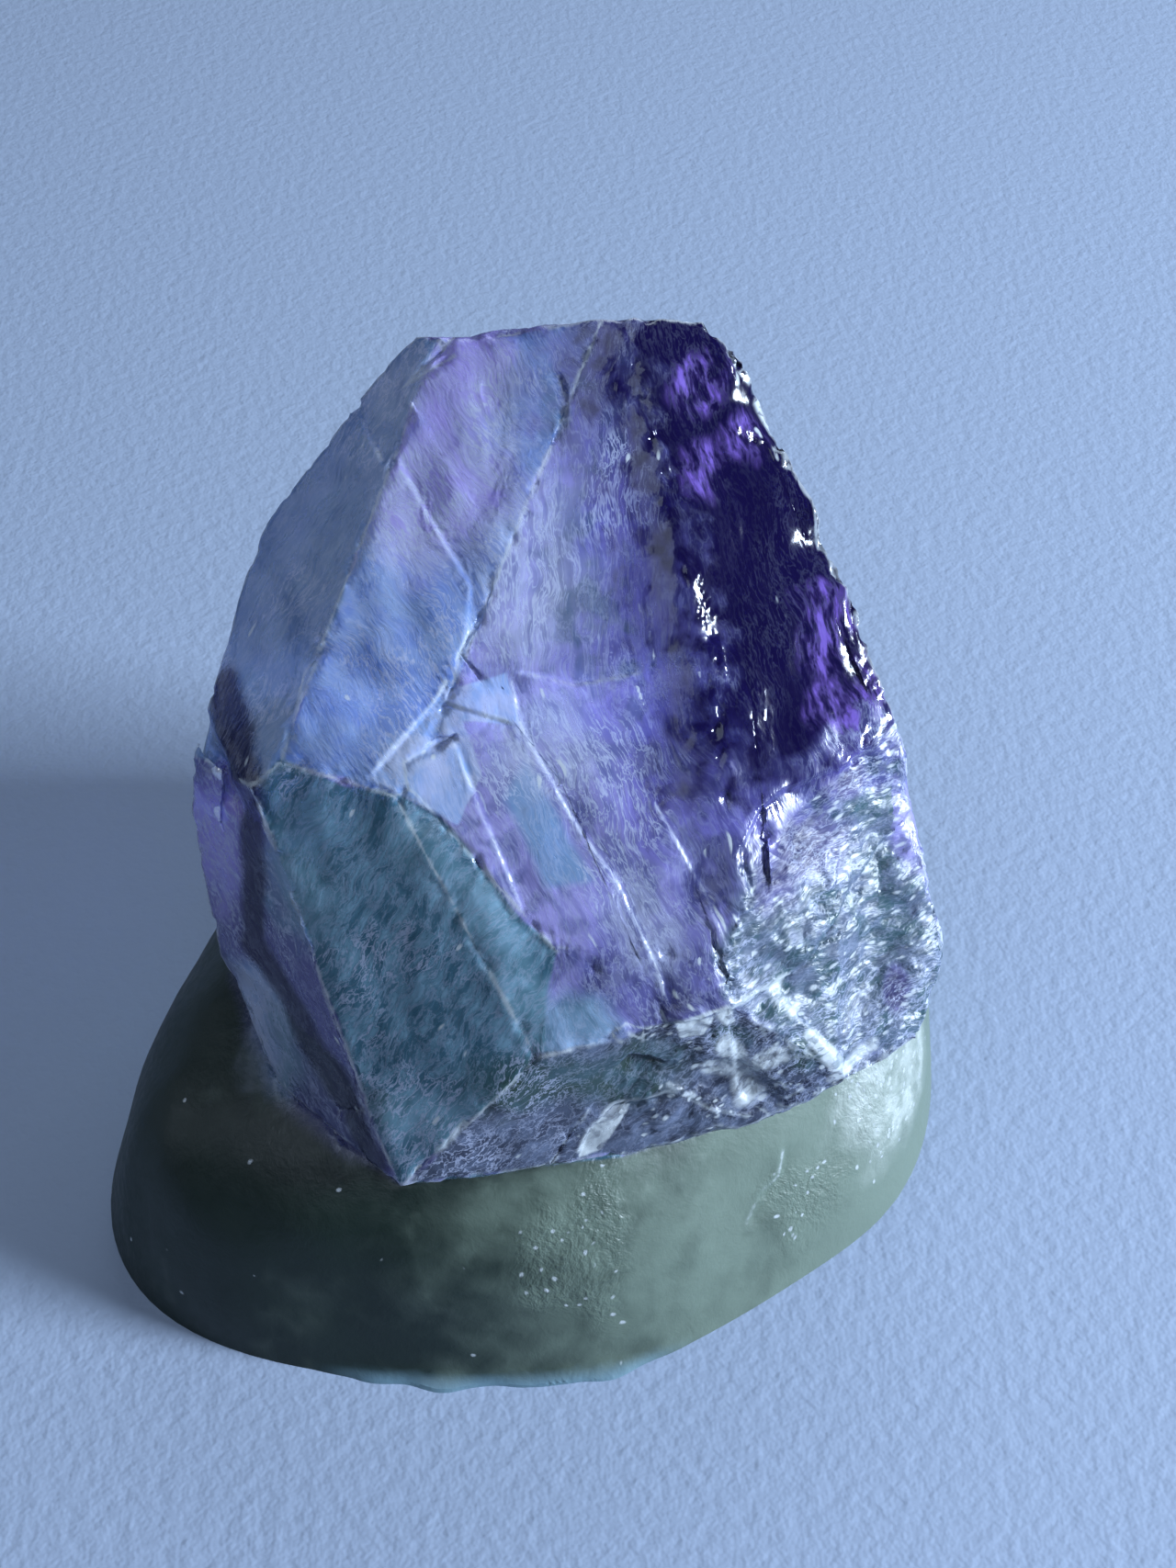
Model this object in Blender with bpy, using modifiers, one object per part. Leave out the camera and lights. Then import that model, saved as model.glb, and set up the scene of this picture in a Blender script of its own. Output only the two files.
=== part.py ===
"""Rough colour-zoned fluorite: a cleaved crown grown on a smooth, rounded foot, one closed solid.

Metres, +Z up. Origin at the centre of the flat base. The viewer's side, with the widest face, is -Y.
"""

import math

import bmesh
import bpy
from mathutils import Matrix, Vector, noise

MM = 0.001

# Crown: cleavage faces as (azimuth, elevation, distance in mm) of each face's outward normal.
# Azimuth 0 looks to -Y and 90 to +X; distance is from the point (0, 0, 0).
CLEAVAGE_FACES = {
    "front": (4, 50, 21.2),
    "blue": (-18, 54, 22.9),
    "pale": (-59, 49, 24.8),
    "slate": (-7, 43, 20.0),
    "teal": (-19, 36, 18.7),
    "left side": (-47, 16, 15.9),
    "lower front": (3, 42, 20.1),
    "toe": (9, 15, 15.7),
    "violet": (29, 50, 23.3),
    "flank": (36, 37, 21.7),
    "crest": (-177, 40, 32.2),
    "shoulder": (125, 8, 19.1),
    "brow": (120, 3, 15.8),
    "temple": (114, 5, 16.9),
    "cheek": (102, 6, 18.3),
    "jaw": (79, -10, 15.8),
    "chin": (35, -34, 6.2),
    "under toe": (17, -39, 3.4),
    "keel": (9, -39, 3.2),
    "heel": (-42, -29, 6.6),
    "hip": (-71, -16, 9.4),
    "lobe": (-87, -8, 11.3),
    "pale edge": (-107, 2, 14.0),
    "pale top": (-128, 19, 22.1),
    "top left": (-136, 30, 27.8),
    "back": (180, 12, 19.4),
    "back left": (-135, 12, 19.4),
    "back right": (140, 14, 22.6),
    "back low": (172, -16, 14.6),
}
CROWN_BOTTOM = 6.0  # the crown reaches down inside the foot to this height

# Foot: corners of its footprint on the table in mm, and the inward lean in degrees of the wall after each.
FOOTPRINT = (
    (-11.0, 17.2, 8),
    (-14.8, 9.0, 10),
    (-18.0, 1.8, 13),
    (-19.6, -3.0, 12),
    (-20.3, -8.8, 8),
    (-17.4, -14.4, 14),
    (-9.5, -17.4, 18),
    (3.5, -17.6, 20),
    (8.5, -15.2, 24),
    (13.6, -11.8, 22),
    (18.2, -8.4, 12),
    (20.5, -2.0, 6),
    (20.2, 6.0, 8),
    (15.5, 14.0, 8),
    (6.0, 18.4, 8),
)
FOOT_HEIGHT = 12.0
FOOT_TOP_FACES = (-20, 86)  # azimuth and elevation: the top falls a little to the front left
FOOT_RIM_SHARPNESS = 0.2  # 0 worn fully round, 1 sharp
FOOT_RIM_FROM = 6.0  # mm, edges of the slab above this height belong to its upper rim
FOOT_ROUNDING = 3  # how many times the slab is rounded over

# Cleavage steps: face, where the riser starts from nothing and where it is deepest (x, y in mm), its depth
# and its reach there, both in mm. Most run off the end of their face.
LEDGES = (
    ("upper front step", "front", (-3.4, 1.6), (1.9, -3.4), 0.28, 3.2),
    ("long front step", "front", (0.6, -1.2), (6.7, -11.6), 0.50, 3.6),
    ("right front step", "front", (5.9, -3.7), (9.6, -11.0), 0.40, 2.4),
    ("light flake", "front", (-7.4, -4.2), (-0.6, -1.3), 0.40, 3.4),
    ("crown step", "blue", (-0.4, 3.8), (-6.4, 12.6), 0.50, 3.6),
    ("left step", "left side", (-10.6, -3.2), (-6.4, -11.8), 0.55, 2.2),
    ("violet step", "violet", (8.4, 9.6), (10.6, -6.6), 0.45, 2.6),
    ("violet step 2", "violet", (8.6, 12.0), (14.8, 1.0), 0.40, 3.0),
    ("flank step", "flank", (11.2, -8.6), (17.2, -1.4), 0.60, 2.8),
    ("toe step", "toe", (1.4, -13.2), (4.6, -11.2), 0.70, 2.4),
    ("back step", "back", (-4.0, 15.0), (2.0, 20.5), 0.80, 5.0),
)

# Flake scars: face, centre (x, y in mm), shell radii, turn on the face in degrees and depth in mm.
SCOOPS = (
    ("flake scar", "flank", (12.6, -3.0), (7.0, 11.0, 9.0), 40, 0.80),
    ("lower flake scar", "flank", (15.0, -7.4), (5.0, 12.0, 7.0), -30, 0.55),
    ("top right chip", "violet", (10.4, 9.9), (2.4, 4.0, 3.0), 25, 0.50),
    ("right rim chip", "violet", (13.0, 5.2), (4.0, 6.0, 5.0), -20, 0.35),
    ("toe flake", "toe", (8.9, -11.2), (3.0, 7.0, 5.0), 60, 0.50),
    ("lobe hollow", "left side", (-12.0, -3.4), (7.0, 16.0, 14.0), 15, 0.45),
    ("crest flake", "blue", (-1.0, 11.4), (6.0, 14.0, 12.0), 80, 0.40),
    ("back flake", "back", (4.0, 16.0), (12.0, 18.0, 16.0), 30, 1.20),
    ("back left flake", "back left", (-9.0, 13.0), (8.0, 15.0, 12.0), -40, 0.90),
)

# Hollows worn into the foot: centre (mm), azimuth and elevation they face, radii (mm), turn and depth (mm).
HOLLOWS = (
    ("right arc", (12.2, -12.4, 8.2), (38, 42), (4.5, 9.0, 8.0), 50, 0.35),
    ("front hollow", (-4.0, -17.0, 5.6), (-4, 24), (14.0, 26.0, 26.0), 80, 0.25),
    ("rear hollow", (12.0, 15.6, 6.0), (146, 20), (12.0, 20.0, 20.0), 75, 0.30),
)

# Notches and crevices: from and to (mm), opening direction, half width and depth in mm.
NOTCHES = (
    ("left notch", (-13.8, 2.0, 23.4), (-9.4, -5.6, 20.2), (-72, 14), 1.7, 0.55),
    ("top left notch", (-8.2, 14.0, 32.0), (-5.2, 7.0, 33.6), (-84, 40), 0.9, 0.5),
)
CREVICES = (
    ("crevice", (12.0, -10.6, 11.3), (19.6, -3.2, 10.4), (52, 4), 0.9, 2.2),
)

# Broken places: centre (mm), radius, how far the surface is broken and the longest edge there, in mm.
# Strength grows from nothing at the radius to full at half of it.
ROUGH_ZONES = (
    ((13.8, -6.6, 18.4), 7.0, 0.38, 1.35),
    ((17.2, -3.6, 13.6), 4.5, 0.38, 1.40),
    ((7.6, -11.2, 15.6), 4.2, 0.38, 1.25),
    ((12.6, -9.2, 13.8), 3.6, 0.38, 1.25),
    ((16.6, -0.8, 22.2), 3.2, 0.34, 1.40),
    ((14.8, 2.4, 26.4), 3.2, 0.34, 1.40),
    ((12.8, 6.0, 30.0), 3.2, 0.34, 1.40),
    ((10.4, 9.6, 33.6), 3.2, 0.32, 1.40),
    ((-12.4, -0.4, 22.6), 3.0, 0.22, 1.60),
    ((0.0, 16.0, 20.0), 14.0, 0.34, 2.80),
    ((16.8, -6.0, 7.4), 5.0, 0.14, 1.80),
)
SMOOTH_RELIEF = 0.05  # mm, on cleavage and worn faces
SMOOTH_EDGE = 4.0  # mm, the longest edge on them
SHARP_EDGE = 2.2  # mm, the longest piece of an edge between two faces
CHIPPED_EDGE = 0.28  # mm, how far those edges are chipped back at most
FLAT_ANGLE = 0.5  # degrees between two faces below which they count as one
SHARP_ANGLE = 22.0  # degrees between two faces from which their edge counts as sharp
GRAIN_PER_MM = 0.9  # how often broken faces rise and fall
GRAIN_DRAW = 0.55  # how often along the height, against across
GRAIN_SHARE = 0.6  # of the broken height
STEP_PER_MM = 0.35  # how often they step
STEP_LEVELS = 4
STEP_SHARE = 0.8
CHIP_PER_MM = 0.8
WAVE_PER_MM = 0.14  # how often the worn foot swells and sinks
FOOT_WAVE = 0.45  # mm, by how much at most
FOOT_WAVE_TOP = 12.0  # mm, the height where it has died out
FOOT_WAVE_FADE = 4.0
BASE_FADE = 2.0  # mm above the flat base over which the relief grows from nothing

BLOCK = 120.0  # mm, the cube that crown and foot are cut from
WELD = 0.03  # mm, the shortest edge that is kept
BASE_LEVEL = 0.1  # mm, corners below this height lie on the base
SPLITTING_PASSES = 5
SCAR_SMOOTHNESS = 4  # how many times the icosahedron of a flake scar is divided
ZONE_RIM = 0.05  # share of a rough zone's strength from which its edges are split finely
CLEARANCE = 2.0  # mm that a ledge cutter stands above its face
FADE_OUT = 0.02  # mm above the face where a ledge ends
TIP_SHARE = 0.04  # share of its full depth that a ledge has where it starts
SEED = 7.3


def facing(azimuth: float, elevation: float) -> Vector:
    """Unit vector at an azimuth and elevation in degrees."""
    a = math.radians(azimuth)
    e = math.radians(elevation)
    return Vector((math.cos(e) * math.sin(a), -math.cos(e) * math.cos(a), math.sin(e)))


def clear_scene() -> None:
    """Empties the scene."""
    for obj in list(bpy.data.objects):
        bpy.data.objects.remove(obj, do_unlink=True)


def collection(name: str, hidden: bool = False) -> bpy.types.Collection:
    """A collection linked to the scene."""
    made = bpy.data.collections.new(name)
    made.hide_render = hidden
    bpy.context.scene.collection.children.link(made)
    return made


def add_object(name: str, bm: bmesh.types.BMesh, home: bpy.types.Collection) -> bpy.types.Object:
    """Writes a bmesh to a new object and frees the bmesh."""
    bmesh.ops.recalc_face_normals(bm, faces=bm.faces[:])
    mesh = bpy.data.meshes.new(name)
    bm.to_mesh(mesh)
    bm.free()
    obj = bpy.data.objects.new(name, mesh)
    home.objects.link(obj)
    return obj


def keep_below(bm: bmesh.types.BMesh, normal: Vector, distance: float) -> None:
    """Cuts away what lies past a plane, distance in mm, and closes the cut."""
    cut = bmesh.ops.bisect_plane(
        bm,
        geom=bm.verts[:] + bm.edges[:] + bm.faces[:],
        plane_co=normal * distance * MM,
        plane_no=normal,
        clear_outer=True,
    )
    rim = [e for e in cut["geom_cut"] if isinstance(e, bmesh.types.BMEdge)]
    bmesh.ops.holes_fill(bm, edges=rim)


def block() -> bmesh.types.BMesh:
    """A cube larger than the stone."""
    bm = bmesh.new()
    bmesh.ops.create_cube(bm, size=BLOCK * MM)
    return bm


def make_crown(home: bpy.types.Collection) -> bpy.types.Object:
    """The cleaved upper crystal: a block cut by its cleavage faces."""
    bm = block()
    for azimuth, elevation, distance in CLEAVAGE_FACES.values():
        keep_below(bm, facing(azimuth, elevation), distance)
    keep_below(bm, Vector((0, 0, -1)), -CROWN_BOTTOM)
    return add_object("crown", bm, home)


def make_foot(home: bpy.types.Collection) -> bpy.types.Object:
    """The smooth lower part: a slab with leaning walls, rounded over like a worn pebble on a flat base."""
    bm = block()
    keep_below(bm, Vector((0, 0, -1)), 0.0)
    for i, (x, y, lean) in enumerate(FOOTPRINT):
        x2, y2, _ = FOOTPRINT[(i + 1) % len(FOOTPRINT)]
        along = Vector((x2 - x, y2 - y, 0)).normalized()
        outward = Vector((along.y, -along.x, 0))
        t = math.radians(lean)
        normal = outward * math.cos(t) + Vector((0, 0, math.sin(t)))
        keep_below(bm, normal, normal.dot(Vector((x, y, 0))))
    keep_below(bm, facing(*FOOT_TOP_FACES), FOOT_HEIGHT)
    crease = bm.edges.layers.float.new("crease_edge")
    for edge in bm.edges:
        if all(v.co.z < BASE_LEVEL * MM for v in edge.verts):
            edge[crease] = 1.0
        elif all(v.co.z > FOOT_RIM_FROM * MM for v in edge.verts):
            edge[crease] = FOOT_RIM_SHARPNESS
    obj = add_object("foot", bm, home)
    rounding = obj.modifiers.new("worn round", "SUBSURF")
    rounding.levels = FOOT_ROUNDING
    rounding.render_levels = FOOT_ROUNDING
    return obj


def point_on(face: str, x: float, y: float) -> Vector:
    """The point of a cleavage face above the plan position x, y in mm."""
    azimuth, elevation, distance = CLEAVAGE_FACES[face]
    n = facing(azimuth, elevation)
    return Vector((x, y, (distance - n.x * x - n.y * y) / n.z)) * MM


def cutter(name: str, bm: bmesh.types.BMesh, home: bpy.types.Collection) -> bpy.types.Object:
    """A hidden body used only to cut."""
    obj = add_object(name, bm, home)
    obj.hide_render = True
    obj.display_type = "WIRE"
    return obj


def prism(name: str, ring_a: list, ring_b: list, home: bpy.types.Collection) -> bpy.types.Object:
    """A cutter between two rings of corners."""
    bm = bmesh.new()
    a = [bm.verts.new(p) for p in ring_a]
    b = [bm.verts.new(p) for p in ring_b]
    bm.faces.new(a)
    bm.faces.new(b)
    for i in range(len(a)):
        j = (i + 1) % len(a)
        bm.faces.new((a[i], a[j], b[j], b[i]))
    return cutter(name, bm, home)


def ledge(name: str, face: str, start: tuple, end: tuple, depth: float, reach: float,
          home: bpy.types.Collection) -> bpy.types.Object:
    """A cleavage step: a riser that deepens from start to end and fades out to the right of that line."""
    azimuth, elevation, _ = CLEAVAGE_FACES[face]
    n = facing(azimuth, elevation)
    rings = []
    a = point_on(face, *start)
    b = point_on(face, *end)
    side = (b - a).normalized().cross(n)
    for corner, share in ((a, TIP_SHARE), (b, 1.0)):
        rings.append([
            corner - n * depth * share * MM,
            corner + side * reach * share * MM + n * FADE_OUT * MM,
            corner + side * reach * MM + n * CLEARANCE * MM,
            corner + n * CLEARANCE * MM,
        ])
    return prism(name, rings[0], rings[1], home)


def scoop(name: str, face: str, at: tuple, radii: tuple, turn: float, depth: float,
          home: bpy.types.Collection) -> bpy.types.Object:
    """A shell-shaped flake scar in a cleavage face."""
    azimuth, elevation, _ = CLEAVAGE_FACES[face]
    return dip(name, point_on(face, *at), facing(azimuth, elevation), radii, turn, depth, home)


def dip(name: str, at: Vector, n: Vector, radii: tuple, turn: float, depth: float,
        home: bpy.types.Collection) -> bpy.types.Object:
    """An ellipsoid that reaches `depth` mm below the point `at` of a surface facing n."""
    centre = at + n * (radii[2] - depth) * MM
    lie = n.to_track_quat("Z", "Y").to_matrix().to_4x4() @ Matrix.Rotation(math.radians(turn), 4, "Z")
    bm = bmesh.new()
    bmesh.ops.create_icosphere(bm, subdivisions=SCAR_SMOOTHNESS, radius=1.0)
    bmesh.ops.transform(bm, matrix=Matrix.Diagonal((*[r * MM for r in radii], 1.0)), verts=bm.verts[:])
    bmesh.ops.transform(bm, matrix=Matrix.Translation(centre) @ lie, verts=bm.verts[:])
    return cutter(name, bm, home)


def groove(name: str, start: tuple, end: tuple, outward: tuple, width: float, depth: float,
           home: bpy.types.Collection) -> bpy.types.Object:
    """A V-shaped notch between two points, opening to the azimuth and elevation in `outward`."""
    a = Vector(start) * MM
    b = Vector(end) * MM
    n = facing(*outward)
    side = (b - a).normalized().cross(n).normalized()
    n = side.cross((b - a).normalized())
    rings = []
    for p in (a, b):
        rings.append([
            p - n * depth * MM,
            p + side * width * MM + n * depth * MM,
            p - side * width * MM + n * depth * MM,
        ])
    return prism(name, rings[0], rings[1], home)


def crown_cutters(home: bpy.types.Collection) -> list:
    """Every ledge, flake scar and notch of the crown."""
    made = []
    for name, face, start, end, depth, reach in LEDGES:
        made.append(ledge(name, face, start, end, depth, reach, home))
    for name, face, at, radii, turn, depth in SCOOPS:
        made.append(scoop(name, face, at, radii, turn, depth, home))
    for name, start, end, outward, width, depth in NOTCHES:
        made.append(groove(name, start, end, outward, width, depth, home))
    return made


def joint_cutters(home: bpy.types.Collection) -> list:
    """The hollows of the foot and the crevice between foot and crown."""
    made = []
    for name, at, toward, radii, turn, depth in HOLLOWS:
        made.append(dip(name, Vector(at) * MM, facing(*toward), radii, turn, depth, home))
    for name, start, end, outward, width, depth in CREVICES:
        made.append(groove(name, start, end, outward, width, depth, home))
    return made


def boolean(obj: bpy.types.Object, other: bpy.types.Object, operation: str) -> None:
    """Adds an exact Boolean."""
    step = obj.modifiers.new(other.name, "BOOLEAN")
    step.operation = operation
    step.object = other
    step.solver = "EXACT"


def settle(obj: bpy.types.Object) -> None:
    """Writes an object's modifiers into its mesh."""
    graph = bpy.context.evaluated_depsgraph_get()
    graph.update()
    mesh = bpy.data.meshes.new_from_object(obj.evaluated_get(graph))
    obj.modifiers.clear()
    obj.data = mesh


def roughness_at(p: Vector) -> tuple:
    """How far the surface is broken, in mm, and how long its edges may be, in mm, at a point."""
    amount = SMOOTH_RELIEF
    length = SMOOTH_EDGE
    for centre, radius, zone_amount, zone_length in ROUGH_ZONES:
        away = (p / MM - Vector(centre)).length / radius
        weight = max(0.0, min(1.0, 2.0 - 2.0 * away))
        amount = max(amount, zone_amount * weight)
        if weight > ZONE_RIM:
            length = min(length, zone_length)
    return amount, length


def is_flat(edge: bmesh.types.BMEdge) -> bool:
    """Whether an edge lies inside one flat face."""
    return len(edge.link_faces) == 2 and edge.calc_face_angle(0.0) < math.radians(FLAT_ANGLE)


def is_sharp(edge: bmesh.types.BMEdge) -> bool:
    """Whether an edge is an outer edge between two cleavage faces."""
    return len(edge.link_faces) == 2 and edge.calc_face_angle_signed(0.0) > math.radians(SHARP_ANGLE)


def longest_allowed(edge: bmesh.types.BMEdge) -> float:
    """How long an edge may be, in metres."""
    middle = (edge.verts[0].co + edge.verts[1].co) / 2
    length = roughness_at(middle)[1]
    if is_sharp(edge):
        length = min(length, SHARP_EDGE)
    return length * MM


def tidy(bm: bmesh.types.BMesh) -> None:
    """Removes edges of no length and slivers of no area, and leaves triangles only."""
    bmesh.ops.remove_doubles(bm, verts=bm.verts[:], dist=WELD * MM)
    bmesh.ops.dissolve_degenerate(bm, edges=bm.edges[:], dist=WELD * MM)
    bmesh.ops.triangulate(bm, faces=bm.faces[:])
    loose = [f for f in bm.faces if all(len(e.link_faces) == 1 for e in f.edges)]
    bmesh.ops.delete(bm, geom=loose, context="FACES")
    bmesh.ops.holes_fill(bm, edges=[e for e in bm.edges if e.is_boundary])


def divide(bm: bmesh.types.BMesh) -> None:
    """Splits edges until none is longer than its place allows."""
    bmesh.ops.remove_doubles(bm, verts=bm.verts[:], dist=WELD * MM)
    flat = math.radians(FLAT_ANGLE)
    bmesh.ops.dissolve_limit(bm, angle_limit=flat, verts=bm.verts[:], edges=bm.edges[:])
    tidy(bm)
    for _ in range(SPLITTING_PASSES):
        bm.normal_update()
        too_long = [e for e in bm.edges if e.calc_length() > longest_allowed(e)]
        if not too_long:
            break
        bmesh.ops.subdivide_edges(bm, edges=too_long, cuts=1)
        tidy(bm)
        bmesh.ops.beautify_fill(bm, faces=bm.faces[:], edges=[e for e in bm.edges if is_flat(e)])


def relief(p: Vector, sharp: bool) -> float:
    """How far, in mm, the surface stands out at the point p, in mm."""
    amount, _ = roughness_at(p * MM)
    drawn = Vector((p.x * GRAIN_PER_MM + SEED, p.y * GRAIN_PER_MM, p.z * GRAIN_PER_MM * GRAIN_DRAW))
    grain = noise.noise(drawn)
    step = noise.noise(p * STEP_PER_MM + Vector((SEED, 0, SEED)))
    step = round(step * STEP_LEVELS) / STEP_LEVELS
    height = (GRAIN_SHARE * grain + STEP_SHARE * step) * amount
    on_foot = max(0.0, min(1.0, (FOOT_WAVE_TOP - p.z) / FOOT_WAVE_FADE))
    height += noise.noise(p * WAVE_PER_MM + Vector((0, 0, SEED))) * FOOT_WAVE * on_foot
    if sharp:
        height -= max(0.0, noise.noise(p * CHIP_PER_MM + Vector((0, SEED, 0)))) * CHIPPED_EDGE
    return height * min(1.0, p.z / BASE_FADE)


def break_surface(bm: bmesh.types.BMesh) -> None:
    """Raises and sinks the surface: stepped where it fractured, faint on cleavage and worn faces."""
    bm.normal_update()
    moved = []
    for v in bm.verts:
        sharp = any(is_sharp(e) for e in v.link_edges)
        moved.append((v, v.normal * relief(v.co / MM, sharp) * MM))
    for v, shift in moved:
        if v.co.z > WELD * MM:
            v.co += shift


def centre_on_base(bm: bmesh.types.BMesh) -> None:
    """Puts the origin at the centre of the bounding box's base."""
    low = Vector([min(v.co[i] for v in bm.verts) for i in range(3)])
    high = Vector([max(v.co[i] for v in bm.verts) for i in range(3)])
    shift = Vector((-(low.x + high.x) / 2, -(low.y + high.y) / 2, -low.z))
    bmesh.ops.translate(bm, verts=bm.verts[:], vec=shift)


def fluorite_material() -> bpy.types.Material:
    """Clear violet-blue fluorite."""
    made = bpy.data.materials.new("fluorite")
    made.use_nodes = True
    shader = made.node_tree.nodes["Principled BSDF"]
    shader.inputs["Base Color"].default_value = (0.30, 0.30, 0.52, 1.0)
    shader.inputs["Roughness"].default_value = 0.25
    shader.inputs["IOR"].default_value = 1.434
    shader.inputs["Transmission Weight"].default_value = 0.6
    return made


def main() -> None:
    """Builds the stone."""
    clear_scene()
    home = collection("fluorite octahedron")
    cutters = collection("cutters", hidden=True)
    stone = make_crown(home)
    foot = make_foot(cutters)
    foot.hide_render = True
    foot.display_type = "WIRE"
    stone.name = "fluorite"
    for tool in crown_cutters(cutters):
        boolean(stone, tool, "DIFFERENCE")
    boolean(stone, foot, "UNION")
    for tool in joint_cutters(cutters):
        boolean(stone, tool, "DIFFERENCE")
    settle(stone)
    bm = bmesh.new()
    bm.from_mesh(stone.data)
    divide(bm)
    break_surface(bm)
    centre_on_base(bm)
    bmesh.ops.recalc_face_normals(bm, faces=bm.faces[:])
    bm.to_mesh(stone.data)
    bm.free()
    stone.data.materials.clear()
    stone.data.materials.append(fluorite_material())


main()
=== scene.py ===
"""Looks of a rough, colour-zoned fluorite: a cleaved violet, lavender and teal crown on a smooth green foot.

Metres, +Z up, the viewer on the -Y side. Lengths that describe the stone are in millimetres.
"""

from __future__ import annotations

import logging
import math
from collections.abc import Sequence
from dataclasses import dataclass, field
from enum import Enum

import bmesh
import bpy
import numpy as np
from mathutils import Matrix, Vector, kdtree, noise

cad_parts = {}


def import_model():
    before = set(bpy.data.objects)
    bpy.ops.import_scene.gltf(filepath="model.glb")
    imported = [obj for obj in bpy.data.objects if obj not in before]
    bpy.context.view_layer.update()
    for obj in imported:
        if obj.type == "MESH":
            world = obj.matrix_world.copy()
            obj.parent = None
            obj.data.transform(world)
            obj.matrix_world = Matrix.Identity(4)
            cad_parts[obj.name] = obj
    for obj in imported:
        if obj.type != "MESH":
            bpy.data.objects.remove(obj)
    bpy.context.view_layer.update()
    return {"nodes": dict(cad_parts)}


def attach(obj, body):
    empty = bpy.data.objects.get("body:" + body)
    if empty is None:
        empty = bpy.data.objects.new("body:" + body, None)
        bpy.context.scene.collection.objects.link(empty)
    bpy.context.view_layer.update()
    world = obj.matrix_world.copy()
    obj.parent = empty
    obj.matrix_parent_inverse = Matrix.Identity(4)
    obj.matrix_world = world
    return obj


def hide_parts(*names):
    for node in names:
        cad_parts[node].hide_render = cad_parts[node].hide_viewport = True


MM = 0.001

Colour = tuple[float, float, float]
Point = tuple[float, float, float]
Span = tuple[float, float]  # where a change starts and where it is complete
log = logging.getLogger("fluorite")


def facing(azimuth: float, elevation: float) -> np.ndarray:
    """Turns a direction in degrees into a unit vector.

    Args:
        azimuth: Degrees from -Y towards +X.
        elevation: Degrees above the horizontal.

    Returns:
        The unit vector.
    """
    a = math.radians(azimuth)
    e = math.radians(elevation)
    return np.array((math.cos(e) * math.sin(a), -math.cos(e) * math.cos(a), math.sin(e)))


def ease(value: np.ndarray, low: float, high: float) -> np.ndarray:
    """Smooth step from 0 at low to 1 at high; low may be the larger.

    Args:
        value: Numbers to map.
        low: Where the result is 0.
        high: Where the result is 1.

    Returns:
        Numbers from 0 to 1.
    """
    t = np.clip((value - low) / (high - low), 0.0, 1.0)
    return t * t * (3.0 - 2.0 * t)


# ---------------------------------------------------------------------------------------------- shape


class Region(Enum):
    """Parts of the surface with a grain of their own; each value names the attribute of its margin."""

    FRONT = "front"
    BLUE = "blue"
    PALE = "pale"
    TEAL = "teal"
    SIDE = "side"
    LOWER = "lower"
    TOE = "toe"
    VIOLET = "violet"
    FLANK = "flank"
    REST = "rest"


@dataclass(frozen=True)
class Facet:
    """A cleavage face of the crown: its outward normal in degrees and its distance in mm."""

    region: Region
    azimuth: float
    elevation: float
    distance: float

    @property
    def normal(self) -> np.ndarray:
        """The face's outward normal."""
        return facing(self.azimuth, self.elevation)


@dataclass(frozen=True)
class RoughZone:
    """A place where the stone broke across its cleavage; lengths in mm."""

    centre: Point
    radius: float
    strength: float
    core: float = 0.55  # share of the radius within which it has its full strength

    def share(self, points: np.ndarray) -> np.ndarray:
        """Its strength at points, none beyond its border."""
        away = np.linalg.norm(points - np.array(self.centre), axis=1) / self.radius
        return self.strength * ease(away, 1.0, self.core)


CLEAVAGE = (
    Facet(Region.FRONT, 4, 50, 21.2),
    Facet(Region.BLUE, -18, 54, 22.9),
    Facet(Region.PALE, -59, 49, 24.8),
    Facet(Region.TEAL, -7, 43, 20.0),
    Facet(Region.TEAL, -19, 36, 18.7),
    Facet(Region.SIDE, -47, 16, 15.9),
    Facet(Region.LOWER, 3, 42, 20.1),
    Facet(Region.TOE, 9, 15, 15.7),
    Facet(Region.VIOLET, 29, 50, 23.3),
    Facet(Region.FLANK, 36, 37, 21.7),
    Facet(Region.REST, -177, 40, 32.2),
    Facet(Region.REST, 125, 8, 19.1),
    Facet(Region.REST, 120, 3, 15.8),
    Facet(Region.REST, 114, 5, 16.9),
    Facet(Region.REST, 102, 6, 18.3),
    Facet(Region.FLANK, 79, -10, 15.8),
    Facet(Region.TOE, 35, -34, 6.2),
    Facet(Region.TOE, 17, -39, 3.4),
    Facet(Region.TEAL, 9, -39, 3.2),
    Facet(Region.SIDE, -42, -29, 6.6),
    Facet(Region.SIDE, -71, -16, 9.4),
    Facet(Region.SIDE, -87, -8, 11.3),
    Facet(Region.PALE, -107, 2, 14.0),
    Facet(Region.PALE, -128, 19, 22.1),
    Facet(Region.REST, -136, 30, 27.8),
    Facet(Region.REST, 180, 12, 19.4),
    Facet(Region.REST, -135, 12, 19.4),
    Facet(Region.REST, 140, 14, 22.6),
    Facet(Region.REST, 172, -16, 14.6),
)
CLEAVAGE_ORIGIN = (-0.18, -0.42, 0.0)  # mm, where the faces' distances are measured from

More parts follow.
